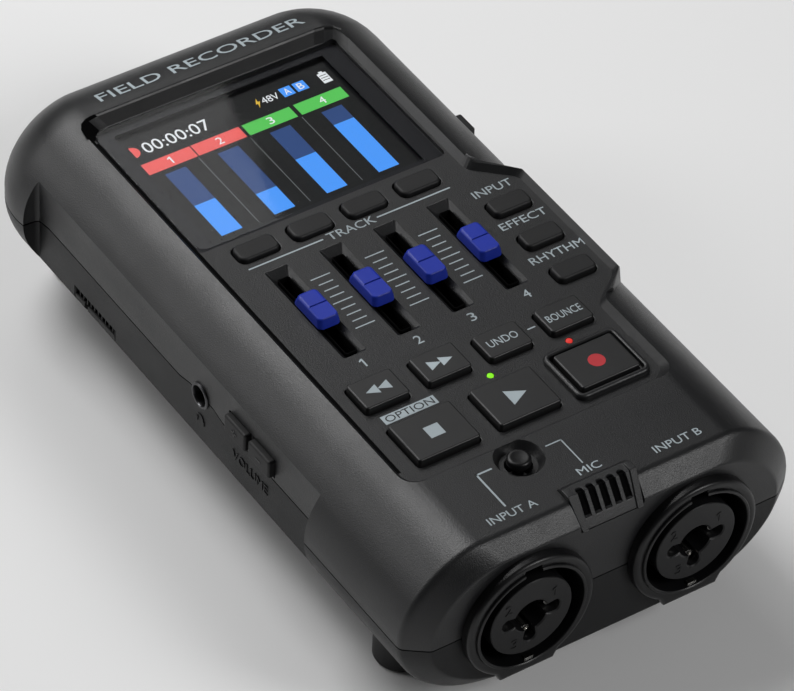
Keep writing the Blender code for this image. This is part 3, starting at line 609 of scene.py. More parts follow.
def seam_line(jack_side):
    """The seam as (d, h). It steps at the side panels, and rises to the middle
    of the headphone jack on that side."""
    level = JACK_H if jack_side else SEAM_SIDE
    return [
        (-OUTSIDE, SEAM), (SIDE_START, SEAM), (SIDE_START + 0.3, SEAM_SIDE), (JACK_D - 6.5, SEAM_SIDE),
        (JACK_D - 3.6, level), (JACK_D + 3.4, level), (JACK_D + 6.5, SEAM_SIDE),
        (SIDE_END - 3, SEAM_SIDE), (SIDE_END + 2.4, SEAM), (BODY_LENGTH + OUTSIDE, SEAM),
    ]


def seam_tool(above):
    lift = GAP / 2 if above else -GAP / 2
    far = -OUTSIDE if above else OUTSIDE
    rings = []
    for x in (OUTSIDE, 1, -1, -OUTSIDE):
        line = seam_line(x < 0)
        ring = [(x, d, h + lift) for d, h in line]
        rings.append(ring + [(x, line[-1][0], far), (x, line[0][0], far)])
    return loft("tool", rings)


def side_tools():
    """Cutters that plane off the two long sides, with a curved step at the far end."""
    out, along = SIDE_STEP
    slope, steps = STEP_SLOPE, 12
    curve = []
    for step in range(steps + 1):
        turn = slope * (1 - step / steps)
        curve.append((SIDE_FLAT + out * (1 - math.cos(turn)), SIDE_END + along * math.sin(turn)))
    beyond = (curve[0][0] + out * math.sin(slope), curve[0][1] + along * math.cos(slope))
    plan = [(SIDE_FLAT, SIDE_START), (OUTSIDE, SIDE_START), (OUTSIDE, beyond[1]), beyond] + curve
    tools = []
    for side in (-1, 1):
        ring = [(side * x, d) for x, d in plan][::side]
        tools.append(loft("tool", [[(x, d, h) for x, d in ring] for h in (-OUTSIDE, 5)]))
    return tools


def panel_outline(out, rear, h, steps=8):
    """The sunk panel's outline, pushed out by out, and by rear at the far end."""
    corner = PANEL_CORNER
    narrow, wide = PANEL_HALF + out, PANEL_WIDE + out
    front, end = PANEL_FRONT - out, PANEL_REAR + rear
    ring = []
    for side, start in ((-1, math.pi), (1, 1.5 * math.pi)):
        for step in range(steps + 1):
            turn = start + math.pi / 2 * step / steps
            across, along = corner * math.cos(turn), corner + corner * math.sin(turn)
            ring.append((side * (narrow - corner) + across, front + along, h))
    steps_at = [d + sign * 0.4 * out for d, sign in zip(PANEL_STEPS, (-1, -1, 1, 1))]
    path = [
        (narrow, steps_at[0]), (wide, steps_at[1]), (wide, steps_at[2]), (narrow, steps_at[3]),
        (narrow, end), (-narrow, end), (-narrow, front + corner),
    ]
    return ring + soften(path, h)


def soften(path, h):
    """The inner corners of this path, rounded off, and the far ones most."""
    end = max(d for _, d in path)
    ring = []
    for before, corner, after in zip([path[0]] + path, path, path[1:]):
        if before == corner:
            before = (corner[0], corner[1] - 10)
        a = Vector(before) - Vector(corner)
        b = Vector(after) - Vector(corner)
        radius = FAR_CORNER if corner[1] == end else STEP_CORNER
        p, q = (Vector(corner) + v.normalized() * radius for v in (a, b))
        for i in range(5):
            t = i / 4
            spot = p * (1 - t) ** 2 + Vector(corner) * 2 * t * (1 - t) + q * t**2
            ring.append((spot.x, spot.y, h))
    return ring


LIPS = [(0, 0, FLOOR), (1.05, 1.7, -0.35), (1.25, 1.95, -0.09), (1.4, 2.15, 0.0)]   # out, rear, height


def lip_sheet(name, wanted, material):
    """A thin skin over the sloping edge of the sunk panel, where wanted, that paints shade or a highlight on
    it.
    """
    rings = [panel_outline(out - 0.012, rear - 0.012, h + 0.012) for out, rear, h in LIPS]
    count = len(rings[0])
    faces = []
    for low, high in zip(rings, rings[1:]):
        for i in range(count):
            j = (i + 1) % count
            if wanted(*low[i][:2]) and wanted(*low[j][:2]):
                faces.append([low[i], low[j], high[j], high[i]])
    points = [p for face in faces for p in face]
    sheet = make(name, points, [tuple(range(4 * i, 4 * i + 4)) for i in range(len(faces))], material)
    attach(sheet, "case", None)


def deck_tools():
    """Cutters for every opening in the deck."""
    panel = loft("tool", [panel_outline(*lip) for lip in LIPS + [(LIPS[-1][0], LIPS[-1][1], 6.0)]])
    middle, length = (LENS_FRONT + LENS_REAR) / 2, LENS_REAR - LENS_FRONT
    seat = LENS_TOP - LENS_THICK - 0.05
    tools = [loft("tool", [rounded(0, middle, 2 * LENS_HALF + 0.3, length + 0.3, 1.0, h) for h in (seat, 1)])]
    tools.append(block("tool", (-LCD_HALF - 0.3, LCD_HALF + 0.3), (LCD_FRONT - 0.3, LCD_REAR + 0.3), (-9, 0)))
    for _, x, d, width, length, _, radius in SOFT_KEYS + HARD_KEYS:
        rings = []
        for extra, h in ((0, -9), (0, FLOOR - 0.18), (0.05, FLOOR - 0.05), (0.18, FLOOR), (0.18, 3)):
            grow = 2 * (CLEAR + extra)
            rings.append(rounded(x, d, width + grow, length + grow, radius + CLEAR + extra, h))
        tools.append(loft("tool", rings))
    tools.append(block("tool", (20, PANEL_WIDE - 0.5), (44.8, 70.0), (-9, -DECK - 0.1)))
    for x in FADER_X:
        rings = [rounded(x, FADER_D, *FADER_SLOT, 0.4, -9), rounded(x, FADER_D, *FADER_SLOT, 0.4, -2.7)]
        wide, long = FADER_WELL
        rings += [rounded(x, FADER_D + 0.6, wide - 0.2, long - 0.2, 0.4, FLOOR - 0.12)]
        rings += [rounded(x, FADER_D + 0.6, wide, long, 0.5, h) for h in (FLOOR, 3)]
        tools.append(loft("tool", rings))
    rim = BOWL_RADIUS + 0.25
    bowl = [(2.3, -9), (2.3, BOWL_FLOOR), (3.1, BOWL_FLOOR), (3.6, -1.0)]
    bowl += [(BOWL_RADIUS, -0.3), (rim, 0), (rim, 3)]
    tools.append(lathe("tool", "h", (STICK_X, STICK_D, 0), bowl))
    for _, x, d in LAMPS:
        reach = LAMP_RADIUS + 0.12
        tools.append(lathe("tool", "h", (x, d, 0), [(reach, -9), (reach, 3)], count=24))
    return [panel], tools


def shared_tools():
    """Socket and jack holes, which both shells share."""
    tools = []
    for side in (-1, 1):
        centre = (side * SOCKET_X, 0, SOCKET_H)
        tools.append(lathe("tool", "d", centre, [(BARREL_RADIUS + 0.2, -5), (BARREL_RADIUS + 0.2, 17)]))
    reach = JACK_RADIUS + 0.15
    tools.append(lathe("tool", "x", (0, JACK_D, JACK_H), [(reach, -45), (reach, -30)], count=32))
    return tools


def grille(name, side_view, material=None, clearance=0.0, cheek=0.0):
    """A wedge with this side view, as (d, h), that widens upwards."""
    foot, widening = side_view[0][1], GRILLE_TOP_HALF - GRILLE_BOTTOM_HALF
    rings = []
    for side in (1, -1):
        ring = []
        for d, h in side_view:
            half = GRILLE_BOTTOM_HALF + widening * min(1, (h - foot) / 5)
            ring.append((side * (half + clearance - cheek), d, h))
        rings.append(ring)
    return loft(name, rings, material)


def wall_tools():
    """Openings through the side walls of the upper shell."""
    tools = []
    inside = INNER_HALF + 0.1
    long, tall = VOLUME_SIZE[0] / 2 + 0.2, VOLUME_SIZE[1] / 2 + 0.2
    for _, d in VOLUME:
        tools.append(block("tool", (-45, -30), (d - long, d + long), (VOLUME_H - tall, VOLUME_H + tall)))
    long, tall = SWITCH_SIZE[0] / 2 + SWITCH_TRAVEL + 0.4, SWITCH_SIZE[1] / 2 + 0.2
    along, height = (SWITCH_D - long, SWITCH_D + long), (SWITCH_H - tall, SWITCH_H + tall)
    tools.append(block("tool", (30, 45), along, height))
    tools.append(block("tool", (-inside, -27), (41.0, 57.2), (-14.1, -8.3)))
    tools.append(block("tool", (27, inside), (82.8, 102.8), (-12.0, -6.4)))
    return tools


def build_upper():
    upper = body("case_top", CASE)
    half = SHOULDER_HALF
    shoulder = [(20.0, 39.4), (28.4, 40.4), (half, 44.0), (half, 71.8), (27.0, 77.6), (20.0, 79.0)]
    levels = [(-9.0, 1.2), (-1.0, 0.08), (-0.66, -0.02), (SHOULDER_TOP, -0.2)]
    rings = [[(x + (out if x > 20 else 0), d, h) for x, d in shoulder] for h, out in levels]
    boolean(upper, [loft("tool", rings)], "UNION")
    boolean(upper, [cavity()])
    boolean(upper, [seam_tool(True)])
    boolean(upper, side_tools())
    panel, openings = deck_tools()
    boolean(upper, panel)
    boolean(upper, openings)
    boolean(upper, shared_tools())
    boolean(upper, [grille("tool", GRILLE_OPENING, None, 0.12)])
    boolean(upper, wall_tools())
    attach(smooth(upper, 30), "case", "case", "upper_shell")


def build_lower():
    # The lower shell takes the darker copy of the case plastic, which is painted shade.
    lower = body("case_bottom", SHADED_CASE)
    boolean(lower, [cavity()])
    boolean(lower, [seam_tool(False)])
    boolean(lower, side_tools())
    boolean(lower, shared_tools())
    tools = []
    for _, side, d, h in COVERS:
        x = sorted((side * 28, side * 45))
        tools.append(block("tool", x, (d[0] - GAP, d[1] + GAP), (h[0] - GAP, h[1] + GAP)))
    half = HATCH_HALF + GAP
    tools.append(block("tool", (-half, half), (HATCH_FRONT - GAP, HATCH_REAR + GAP), (-45, -28)))
    tools.append(lathe("tool", "h", (0, NUT_D, 0), [(NUT_RADIUS + 0.15, -45), (NUT_RADIUS + 0.15, -28)]))
    boolean(lower, tools)
    attach(smooth(lower, 30), "case", "case", "lower_shell")


def build_covers():
    """Doors that carry on the surface of the lower shell."""
    for name, side, d, h in COVERS:
        x = sorted((side * 30.0, side * 45.0))
        cover = block(name + "_skin", x, d, h, PANEL_RUBBER)
        boolean(cover, [body("tool")], "INTERSECT")
        boolean(cover, [cavity()])
        boolean(cover, side_tools())
        if side < 0:
            top, notch = h[1] - SLIT_TALL, d[1] - SLIT_NOTCH
            slit = [block("tool", (-45, -SIDE_FLAT + 0.7), (d[0] + 0.2, d[1] - 0.2), (top, 0.1))]
            slit.append(block("tool", (-45, -31.5), (notch - 1.0, notch), (-30, 0.2)))
            boolean(cover, slit)
            edges = [d[0] + 0.9 + SLIT_RIB * i for i in range(round((d[1] - d[0] - 1.2) / SLIT_RIB))]
            x, height = (-SIDE_FLAT + 0.25, -SIDE_FLAT + 0.9), (top - 0.1, h[1])
            ribs = join([block("rib", x, (a, a + 0.22), height, BLACK) for a in edges])
            ribs.name = "port_ribs"
            attach(ribs, name, None)
            # Painted shade: a near-black strip inside the finger slit.
            x, along = (-SIDE_FLAT + 0.6, -SIDE_FLAT + 0.8), (d[0] + 0.2, d[1] - 0.2)
            slit_shade = block("port_slit", x, along, (top, h[1]), VOID)
            attach(slit_shade, name, None)
        attach(smooth(cover, 30, 0.1, 2), name, "keys", name)
    x, along = (-HATCH_HALF, HATCH_HALF), (HATCH_FRONT, HATCH_REAR)
    hatch = block("battery_hatch_skin", x, along, (-45, -28.2), SHADED_CASE)
    boolean(hatch, [body("tool")], "INTERSECT")
    boolean(hatch, [cavity()])
    starts = [HATCH_REAR - 8 + 1.6 * i for i in range(4)]
    grips = [block("tool", (-6, 6), (start, start + 0.8), (-33, -31.6)) for start in starts]
    boolean(hatch, grips)
    attach(smooth(hatch, 30, 0.15), "battery_hatch", "case", "battery_hatch")


# ---------------------------------------------------------------- controls

def key(name, x, d, width, length, top, radius, edge, material):
    """A key cap with an edge rounded over `edge` millimetres."""
    rings = [rounded(x, d, width, length, radius, -4.0)]
    for step in range(6):
        turn = math.pi / 2 * step / 5
        inset = edge * (1 - math.cos(turn))
        size = (width - 2 * inset, length - 2 * inset, max(radius - inset, 0.12))
        rings.append(rounded(x, d, *size, top - edge * (1 - math.sin(turn))))
    return loft(name, rings, material)


def icon(name, x, d, h):
    """The printed marks on one key."""
    lift = h + 0.008
    if name == "stop_key":
        return [bar((x - 1.35, x + 1.35), (d - 1.3, d + 1.3), lift, INK)]
    if name == "play_key":
        return [flat_shape([(x - 1.3, d - 1.75), (x + 2.1, d), (x - 1.3, d + 1.75)], lift, INK)]
    if name == "record_key":
        return [disc(x, d, 1.45, lift, RED_INK)]
    if name in ("rewind_key", "forward_key"):
        turn = 1 if name == "forward_key" else -1
        arrows = []
        for start in (-2.15, 0.05):
            back, tip = x + turn * start, x + turn * (start + 2.25)
            arrows.append(flat_shape([(back, d - 1.05), (tip, d), (back, d + 1.05)][::turn], lift, INK))
        return arrows
    words = {"undo_key": ("UNDO", 5.6), "bounce_key": ("BOUNCE", 6.6)}[name]
    return [text_mesh(words[0], (x, d, lift), words[1], 1.6, INK)]


def build_keys():
    for name, x, d, width, length, top, radius in SOFT_KEYS:
        cap = key(name + "_cap", x, d, width, length, top, radius, 0.45, PANEL_RUBBER)
        attach(smooth(cap), name, "keys", name)
    for name, x, d, width, length, top, radius in HARD_KEYS:
        cap = key(name + "_cap", x, d, width, length, top, radius, 0.3, KEYCAP)
        attach(smooth(cap), name, "keys", name)
        marks = join(icon(name, x, d, top))
        marks.name = name + "_mark"
        attach(marks, name, None)
    x, d, width, length = RECORD_FRAME
    rings = []
    rise = [(0, -0.1), (0.0, 0.5), (0.1, 0.78), (0.3, 0.96), (0.5, 1.0)]
    rise += [(0.7, 1.0), (0.86, 0.92), (0.95, 0.75), (0.97, -0.1)]
    for inset, lift in rise:
        rings.append(rounded(x, d, width - 2 * inset, length - 2 * inset, 1.6 - inset, FLOOR + lift))
    collar = loft("record_collar", rings, CASE, closed=True)
    attach(smooth(collar), "case", "case", "record_frame")


def build_faders():
    """Blue caps with a step under the finger, on black sliders in slots lined with painted shade."""
    wide, long = CAP_SIZE
    for i, x in enumerate(FADER_X, 1):
        name = f"fader_cap_{i}"
        rings = [rounded(x + 0.15, FADER_D, *SLIDER_SIZE, 0.5, h) for h in (-2.65, FLOOR - 0.25)]
        base = loft(name + "_slider", rings, BLACK)
        smooth(base, 32, 0.25)
        rings = [
            rounded(x, FADER_D, wide + 0.3, long + 0.9, 0.9, FLOOR + 0.25),
            rounded(x, FADER_D, wide + 0.2, long + 0.5, 0.9, CAP_TOP - 1.1),
        ]
        for step in range(7):
            turn = math.pi / 2 * step / 6
            inset = 0.6 * (1 - math.cos(turn))
            height = CAP_TOP - 0.6 * (1 - math.sin(turn))
            rings.append(rounded(x, FADER_D, wide - 2 * inset, long - 2 * inset, 0.9 - inset, height))
        cap = loft(name + "_finger", rings, BLUE)
        step = [block("tool", (x - 3, x + 3), (FADER_D - 5, FADER_D - 0.1), (CAP_TOP - 0.13, 2))]
        step.append(block("tool", (x - 1.5, x + 3), (FADER_D - 0.12, FADER_D + 0.08), (CAP_TOP - 0.3, 2.1)))
        boolean(cap, step)
        attach(smooth(cap, 28, 0.05, 1), name, "blue", name)
        attach(base, name, "black")
    slot_shades = []
    # Painted shade: near-black linings on the slot walls.
    for x in FADER_X:
        wide, long = FADER_SLOT
        sizes = ((-0.02, -3.3), (-0.02, FLOOR - 0.35), (-0.36, FLOOR - 0.35), (-0.36, -3.3))
        rings = [rounded(x, FADER_D, wide + a, long + a, 0.3, h) for a, h in sizes]
        slot_shades.append(loft("slot_shade", rings, VOID, closed=True))
    slot_shade = join(slot_shades)
    slot_shade.name = "fader_slot_shade"
    attach(slot_shade, "case", "black")


def build_stick():
    centre = (STICK_X, STICK_D, 0)
    r, top = KNOB_RADIUS, KNOB_TOP
    profile = [
        (0.9, -3.7), (0.9, -1.3), (r - 0.3, -1.15), (r, -0.95), (r, top - 0.45), (r - 0.06, top - 0.25),
        (r - 0.2, top - 0.08), (r - 0.4, top), (r - 0.7, top - 0.02), (0.9, top - 0.08), (0.2, top - 0.1),
    ]
    attach(smooth(lathe("stick_cap", "h", centre, profile, BLACK)), "joystick_knob", "black", "joystick_knob")


def build_lamps():
    for (name, x, d), glow in zip(LAMPS, (GREEN_GLOW, RED_GLOW)):
        r, top = LAMP_RADIUS, FLOOR + 0.1
        profile = [(r, -3.4), (r, top - 0.12), (r * 0.8, top - 0.03), (r * 0.4, top), (0.05, top)]
        lens = lathe(name + "_lens", "h", (x, d, 0), profile, glow, count=24)
        attach(smooth(lens, 60), "case", name.split("_")[0], name)


def build_screen():
    middle, length = (LENS_FRONT + LENS_REAR) / 2, LENS_REAR - LENS_FRONT
    bottom = LENS_TOP - LENS_THICK
    rings = []
    for inset, h in ((0, bottom), (0, LENS_TOP - 0.2), (0.06, LENS_TOP - 0.05), (0.2, LENS_TOP)):
        rings.append(rounded(0, middle, 2 * (LENS_HALF - inset), length - 2 * inset, 2.0, h))
    attach(smooth(loft("window", rings, GLASS)), "case", "lens", "screen_lens")
    outer, inner = (47.8, length - 0.2), (41.2, 31.0)
    centre = (LCD_FRONT + LCD_REAR) / 2 - 0.1
    rings = [
        rounded(0, middle, *outer, 0.8, bottom - 0.04), rounded(0, middle, *outer, 0.8, bottom - 0.01),
        rounded(0, centre, *inner, 0.3, bottom - 0.01), rounded(0, centre, *inner, 0.3, bottom - 0.04),
    ]
    attach(loft("window_mask", rings, MASK, closed=True), "case", "black")


HEADER_STARTS = (-20.0, -10.35, -0.3, 9.95)
LEVELS = (8.5, 5.8, 9.7, 13.8)


def build_display():
    """The picture on the display: four track headers, four level bars, the
    counter and the status marks."""
    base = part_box("lcd_module")[1].z / MM - ORIGIN_H
    low, mid, high = base + 0.03, base + 0.06, base + 0.09
    plates = [bar((-20.4, 20.4), (84.0, 114.6), low, UI_BACK)]
    for i, start in enumerate(HEADER_STARTS):
        plates.append(bar((start, start + 9.4), (104.35, 107.2), mid, UI_RED if i < 2 else UI_GREEN))
        plates.append(numeral(i + 1, (start + 4.9, 105.8, high), 1.7, UI_WHITE))
        if i:
            plates.append(bar((start - 0.42, start - 0.3), (85.4, 103.9), mid, UI_GREY))
        x = -15.75 + 10.25 * i
        plates.append(bar((x - 2.0, x + 2.0), (85.6 + LEVELS[i], 103.2), mid, UI_DIM))
        plates.append(bar((x - 2.0, x + 2.0), (85.6, 85.6 + LEVELS[i]), mid, UI_BLUE))
    plates.append(text_mesh("00:00:07", (-11.1, 110.5, mid), 12.8, 2.7, UI_WHITE))
    plates.append(disc(-19.6, 110.5, 1.35, mid, UI_RED, start=-math.pi / 2, end=math.pi / 2))
    bolt = [(5.4, 111.8), (4.7, 110.5), (5.1, 110.5), (4.8, 109.4), (5.7, 110.9), (5.3, 110.9)]
    plates.append(flat_shape(bolt[::-1], mid, UI_YELLOW))
    plates.append(text_mesh("48V", (7.6, 110.7, mid), 3.3, 1.6, UI_WHITE))
    for letter, x in (("A", 11.0), ("B", 13.7)):
        plates.append(bar((x - 1.1, x + 1.1), (109.6, 111.9), mid, UI_BLUE))
        plates.append(text_mesh(letter, (x, 110.75, high), 1.1, 1.5, UI_WHITE))
    plates.append(bar((17.6, 19.3), (109.2, 111.8), mid, UI_WHITE))
    plates.append(bar((18.1, 18.8), (111.8, 112.2), mid, UI_WHITE))
    for i in range(3):
        plates.append(bar((17.75, 19.15), (109.85 + 0.62 * i, 109.97 + 0.62 * i), high, UI_BACK))
    picture = join(plates)
    picture.name = "display_picture"
    attach(picture, "case", "lens")


def drape(obj):
    """Let flat lettering follow the far end of the deck as it rounds off."""
    start = place((0, END_START, 0)).y
    reach = (BODY_LENGTH - END_START) * MM
    for vert in obj.data.vertices:
        along = max(0.0, vert.co.y - start) / reach
        vert.co.z -= END_INSET[1] * MM * (1 - math.sqrt(1 - along**2))
    return obj


def build_print():
    """Lettering and lines printed on the deck and its sunk panel, and painted shade and highlight along the
    panel's edges.
    """
    sunk, deck = FLOOR + 0.008, 0.008
    marks = [bar((-19.3, -5.0), (74.86, 75.14), sunk, INK), bar((5.5, 19.9), (74.86, 75.14), sunk, INK)]
    marks.append(text_mesh("TRACK", (0.45, 75.0, sunk), 9.1, 1.75, INK))
    for x in (-10.25, 0.2, 10.65):
        for i in range(9):
            half = 1.85 if i % 4 == 0 else 1.35
            d = 54.5 + 1.65 * i
            marks.append(bar((x - half, x + half), (d - 0.11, d + 0.11), sunk, INK))
    for i, x in enumerate((-15.5, -4.9, 5.5, 16.1)):
        marks.append(numeral(i + 1, (x, 47.2, sunk), 1.9, INK))
    labels = (("INPUT", 25.75, 7.5, 71.2), ("EFFECT", 25.9, 9.0, 62.4), ("RHYTHM", 26.1, 10.4, 53.0))
    for words, x, width, d in labels:
        marks.append(text_mesh(words, (x, d, sunk), width, 1.7, INK))
    marks.append(bar((11.4, 12.9), (39.97, 40.23), sunk, INK))
    marks.append(bar((-20.1, -10.1), (33.42, 35.38), sunk, INK))
    marks.append(text_mesh("OPTION", (-15.1, 34.4, sunk + 0.02), 9.0, 1.45, CASE))
    for path in ([(-12.5, 15.5), (-15.3, 15.6), (-15.2, 7.7)], [(-2.3, 15.3), (0.5, 15.3), (0.5, 9.4)]):
        for (xa, da), (xb, db) in zip(path, path[1:]):
            x, d = sorted((xa, xb)), sorted((da, db))
            marks.append(bar((x[0] - 0.11, x[1] + 0.11), (d[0] - 0.11, d[1] + 0.11), deck, INK))
    marks.append(text_mesh("INPUT A", (-15.1, 6.0, deck), 8.9, 1.55, INK))
    marks.append(text_mesh("MIC", (0.7, 7.9, deck), 4.2, 1.55, INK))
    marks.append(text_mesh("INPUT B", (16.1, 5.8, deck), 8.9, 1.55, INK))
    marks.append(drape(text_mesh("FIELD RECORDER", (1.2, 122.6, 0.012), 40.5, 2.5, INK, 0.05)))
    sheet = join(marks)
    sheet.name = "panel_print"
    attach(sheet, "case", None)
    # Painted shadow: a near-black strip on the panel floor along its left wall, where the wall's shadow
    # falls.
    shadow_strip = bar((-PANEL_HALF, -PANEL_HALF + 0.6), (PANEL_FRONT + 3.2, PANEL_REAR - 3.0), FLOOR + 0.004, VOID)
    shadow_strip.name = "panel_shadow_strip"
    attach(shadow_strip, "case", None)
    # Painted shade on the left and far sloping edges of the sunk panel, and a painted highlight on its right
    # edge behind the shoulder.
    lip_sheet("lip_shade", lambda x, d: x < -21 and d > PANEL_FRONT + 4, VOID)
    lip_sheet("lip_far_shade", lambda x, d: x > -21.5 and d > PANEL_REAR - 0.5, BLACK)
    lip_sheet("lip_highlight", lambda x, d: x > 24 and 77 < d < PANEL_REAR - 3, PAINTED_HIGHLIGHT)


# ---------------------------------------------------------------- ends and sides

def rim_ring(x, along, radius, flat, drop, count=72):
    ring = circle("d", (x, 0, SOCKET_H), radius, along, count)
    foot = SOCKET_H - drop
    return [(a, d, foot if flat and h < SOCKET_H and abs(a - x) < flat else h) for a, d, h in ring]


def pin_ring(x, along, grow=0.0, count=144):
    """The opening in a socket insert: a round bore with three pin lobes."""
    ring = []
    radius = PIN_RADIUS + grow
    for i in range(count):
        turn = 2 * math.pi * i / count
        reach = PLUG_RADIUS + grow
        for lobe in (math.pi / 2, -math.pi / 2, math.pi):
            off = math.remainder(turn - lobe, 2 * math.pi)
            if abs(off) < math.asin(radius / PIN_CIRCLE):
                across = PIN_CIRCLE * math.sin(off)
                reach = max(reach, PIN_CIRCLE * math.cos(off) + math.sqrt(radius**2 - across**2))
        ring.append((x + reach * math.sin(turn), along, SOCKET_H + reach * math.cos(turn)))
    return ring


def build_sockets():
    for letter, side in (("a", -1), ("b", 1)):
        x = side * SOCKET_X
        steps = [(BARREL_DEPTH - 2, BORE_RADIUS, 0, 0)]
        steps += [(back - RIM_PROUD, BORE_RADIUS + out, 0, 0) for back, out in RIM_LIP]
        for back, inset, flat, lift in RIM_EDGE:
            steps.append((back - RIM_PROUD, RIM_RADIUS - inset, flat, RIM_FLAT - lift))
        steps += [
            (-0.08, RIM_RADIUS, 5.6, RIM_FLAT), (-0.08, BARREL_RADIUS, 0, 0),
            (BARREL_DEPTH, BARREL_RADIUS, 0, 0),
        ]
        shell = loft(f"socket_{letter}", [rim_ring(x, *step) for step in steps][::-1], BLACK)
        notch = [block("tool", (x - 2.0, x + 1.2), (-5, 3), (SOCKET_H + 9.0, SOCKET_H + 10.9))]
        boolean(shell, notch)
        attach(smooth(shell, 30), "case", "black", f"socket_shell_{letter}")
        face = -1.9
        edges = ((0, BARREL_DEPTH - 2.1), (0, face + 0.2), (0.1, face + 0.05), (0.35, face))
        profile = [(INSERT_RADIUS - inset, along) for inset, along in edges]
        insert = lathe(f"insert_{letter}", "d", (x, 0, SOCKET_H), profile[::-1], INSERT)
        rings = [pin_ring(x, -6, 0.25), pin_ring(x, face, 0.25), pin_ring(x, face + 0.2), pin_ring(x, 12)]
        boolean(insert, [loft("tool", rings)])
        attach(smooth(insert, 30), "case", "black", f"socket_insert_{letter}")
        pins = [
            lathe("pin", "d", (x + across, 0, SOCKET_H + up), PIN_SLEEVE, BRIGHT, count=20)
            for across, up in ((PIN_CIRCLE, 0), (-PIN_CIRCLE, 0), (0, -PIN_CIRCLE))
        ]
        across, along, up = LATCH_SIZE
        latch = [(x + across[0], x + across[1]), along, (SOCKET_H + up[0], SOCKET_H + up[1])]
        pins.append(block("pin", *latch, BRIGHT))
        figures = [
            numeral(number, (x + across, face, SOCKET_H + up), 1.9, INSERT, 0.2, FRONT)
            for number, across, up in ((1, 4.1, 3.4), (2, -4.5, 3.6), (3, -2.9, -4.7))
        ]
        marks = join(figures)
        marks.name = f"pin_numbers_{letter}"
        attach(marks, "case", "black")
        contacts = join(pins)
        contacts.name = f"contacts_{letter}"
        attach(smooth(contacts), "case", "steel")


def build_grille():
    """Slats between two cheeks, over a near-black block of painted shade."""
    front = grille("microphone_grille", GRILLE_SIDE, CASE)
    boolean(front, [grille("tool", GRILLE_CHANNEL, None, 0.0, 1.25)])
    slots, slot_shades = [], []
    for i in range(SLOT_COUNT):
        x = (i - (SLOT_COUNT - 1) / 2) * SLOT_PITCH
        slots.append(loft("tool", [rounded(x, 0.8, SLOT_WIDTH, 7.6, 0.55, h) for h in (-2.6, 3)]))
        # Painted shade: a near-black block behind each slot.
        side_view = [(1.6, -2.5), (4.5, -2.5), (4.5, 0.3), (3.9, 0.3)]
        half = SLOT_WIDTH / 2 - 0.03
        rings = [[(x + side * half, d, h) for d, h in side_view] for side in (1, -1)]
        slot_shades.append(loft("slot_shade", rings, VOID))
    boolean(front, slots)
    attach(smooth(front, 30, 0.12, 2), "case", "case", "mic_grille")
    slot_shade = join(slot_shades)
    slot_shade.name = "grille_shade"
    attach(slot_shade, "case", "black")


def side_button(name, side, d, h, size, out, material):
    """A button through a side wall, with rounded edges."""
    long, tall = size[0] / 2, size[1] / 2
    x = sorted((side * 30.0, side * out))
    button = block(name + "_skin", x, (d - long, d + long), (h - tall, h + tall), material)
    return smooth(button, 30, 0.45, 4)


def build_sides():
    wall = SIDE_FLAT + 0.01
    for name, d in VOLUME:
        button = side_button(name, -1, d, VOLUME_H, VOLUME_SIZE, VOLUME_OUT, PANEL_RUBBER)
        attach(button, name, "keys", name)
        strokes = [SIGN_SIZE] + [SIGN_SIZE[::-1]] * (name == "volume_up")
        lines = [
            [(d - a, VOLUME_H - b), (d + a, VOLUME_H - b), (d + a, VOLUME_H + b), (d - a, VOLUME_H + b)]
            for a, b in strokes
        ]
        sign = join([flat_shape(line, 0, CASE, 0.16, -1, -VOLUME_OUT) for line in lines])
        sign.name = name + "_sign"
        attach(sign, name, "case")
    switch = side_button("power_switch", 1, SWITCH_D, SWITCH_H, SWITCH_SIZE, SWITCH_OUT, PANEL_RUBBER)
    x, height = (SWITCH_OUT - 0.3, SWITCH_OUT + 1), (SWITCH_H - 1.4, SWITCH_H + 1.4)
    grooves = [SWITCH_D + a for a in (-1.2, -0.4, 0.4, 1.2)]
    ribs = [block("tool", x, (d - 0.15, d + 0.15), height) for d in grooves]
    boolean(switch, ribs)
    attach(smooth(switch, 30), "power_switch", "keys", "power_switch")
    words = text_mesh("VOLUME", (-wall, 50.0, -18.6), 10.4, 1.9, SHADED_CASE, 0.3, -1)
    words.name = "volume_word"
    attach(words, "case", "case")
    profile = [
        (JACK_FLANGE, -SIDE_FLAT + 0.1), (JACK_FLANGE, -SIDE_FLAT - 0.25),
        (JACK_FLANGE - 0.15, -SIDE_FLAT - 0.4),
        (JACK_BORE + 0.2, -SIDE_FLAT - 0.4),
        (JACK_BORE, -SIDE_FLAT + 0.1), (JACK_BORE, -28), (JACK_RADIUS, -28), (JACK_RADIUS, -SIDE_FLAT + 0.1),
    ]
    jack = lathe("jack_ring", "x", (0, JACK_D, JACK_H), profile, DARK_METAL, closed=True)
    attach(smooth(jack), "case", "steel", "headphone_jack")
    arc = [(1.05 * math.cos(t), 1.05 * math.sin(t)) for t in (math.pi * i / 12 for i in range(13))]
    band = arc + [(0.8 * a, 0.8 * b) for a, b in arc[::-1]]
    pads = [[(a - 0.28, -0.75), (a + 0.28, -0.75), (a + 0.28, 0.1), (a - 0.28, 0.1)] for a in (-0.95, 0.95)]
    outlines = [[(JACK_D + a, b - 19.2) for a, b in part] for part in [band] + pads]
    symbol = join([flat_shape(outline, 0, SHADED_CASE, 0.3, -1, -wall) for outline in outlines])
    symbol.name = "headphone_symbol"
    attach(symbol, "case", "case")


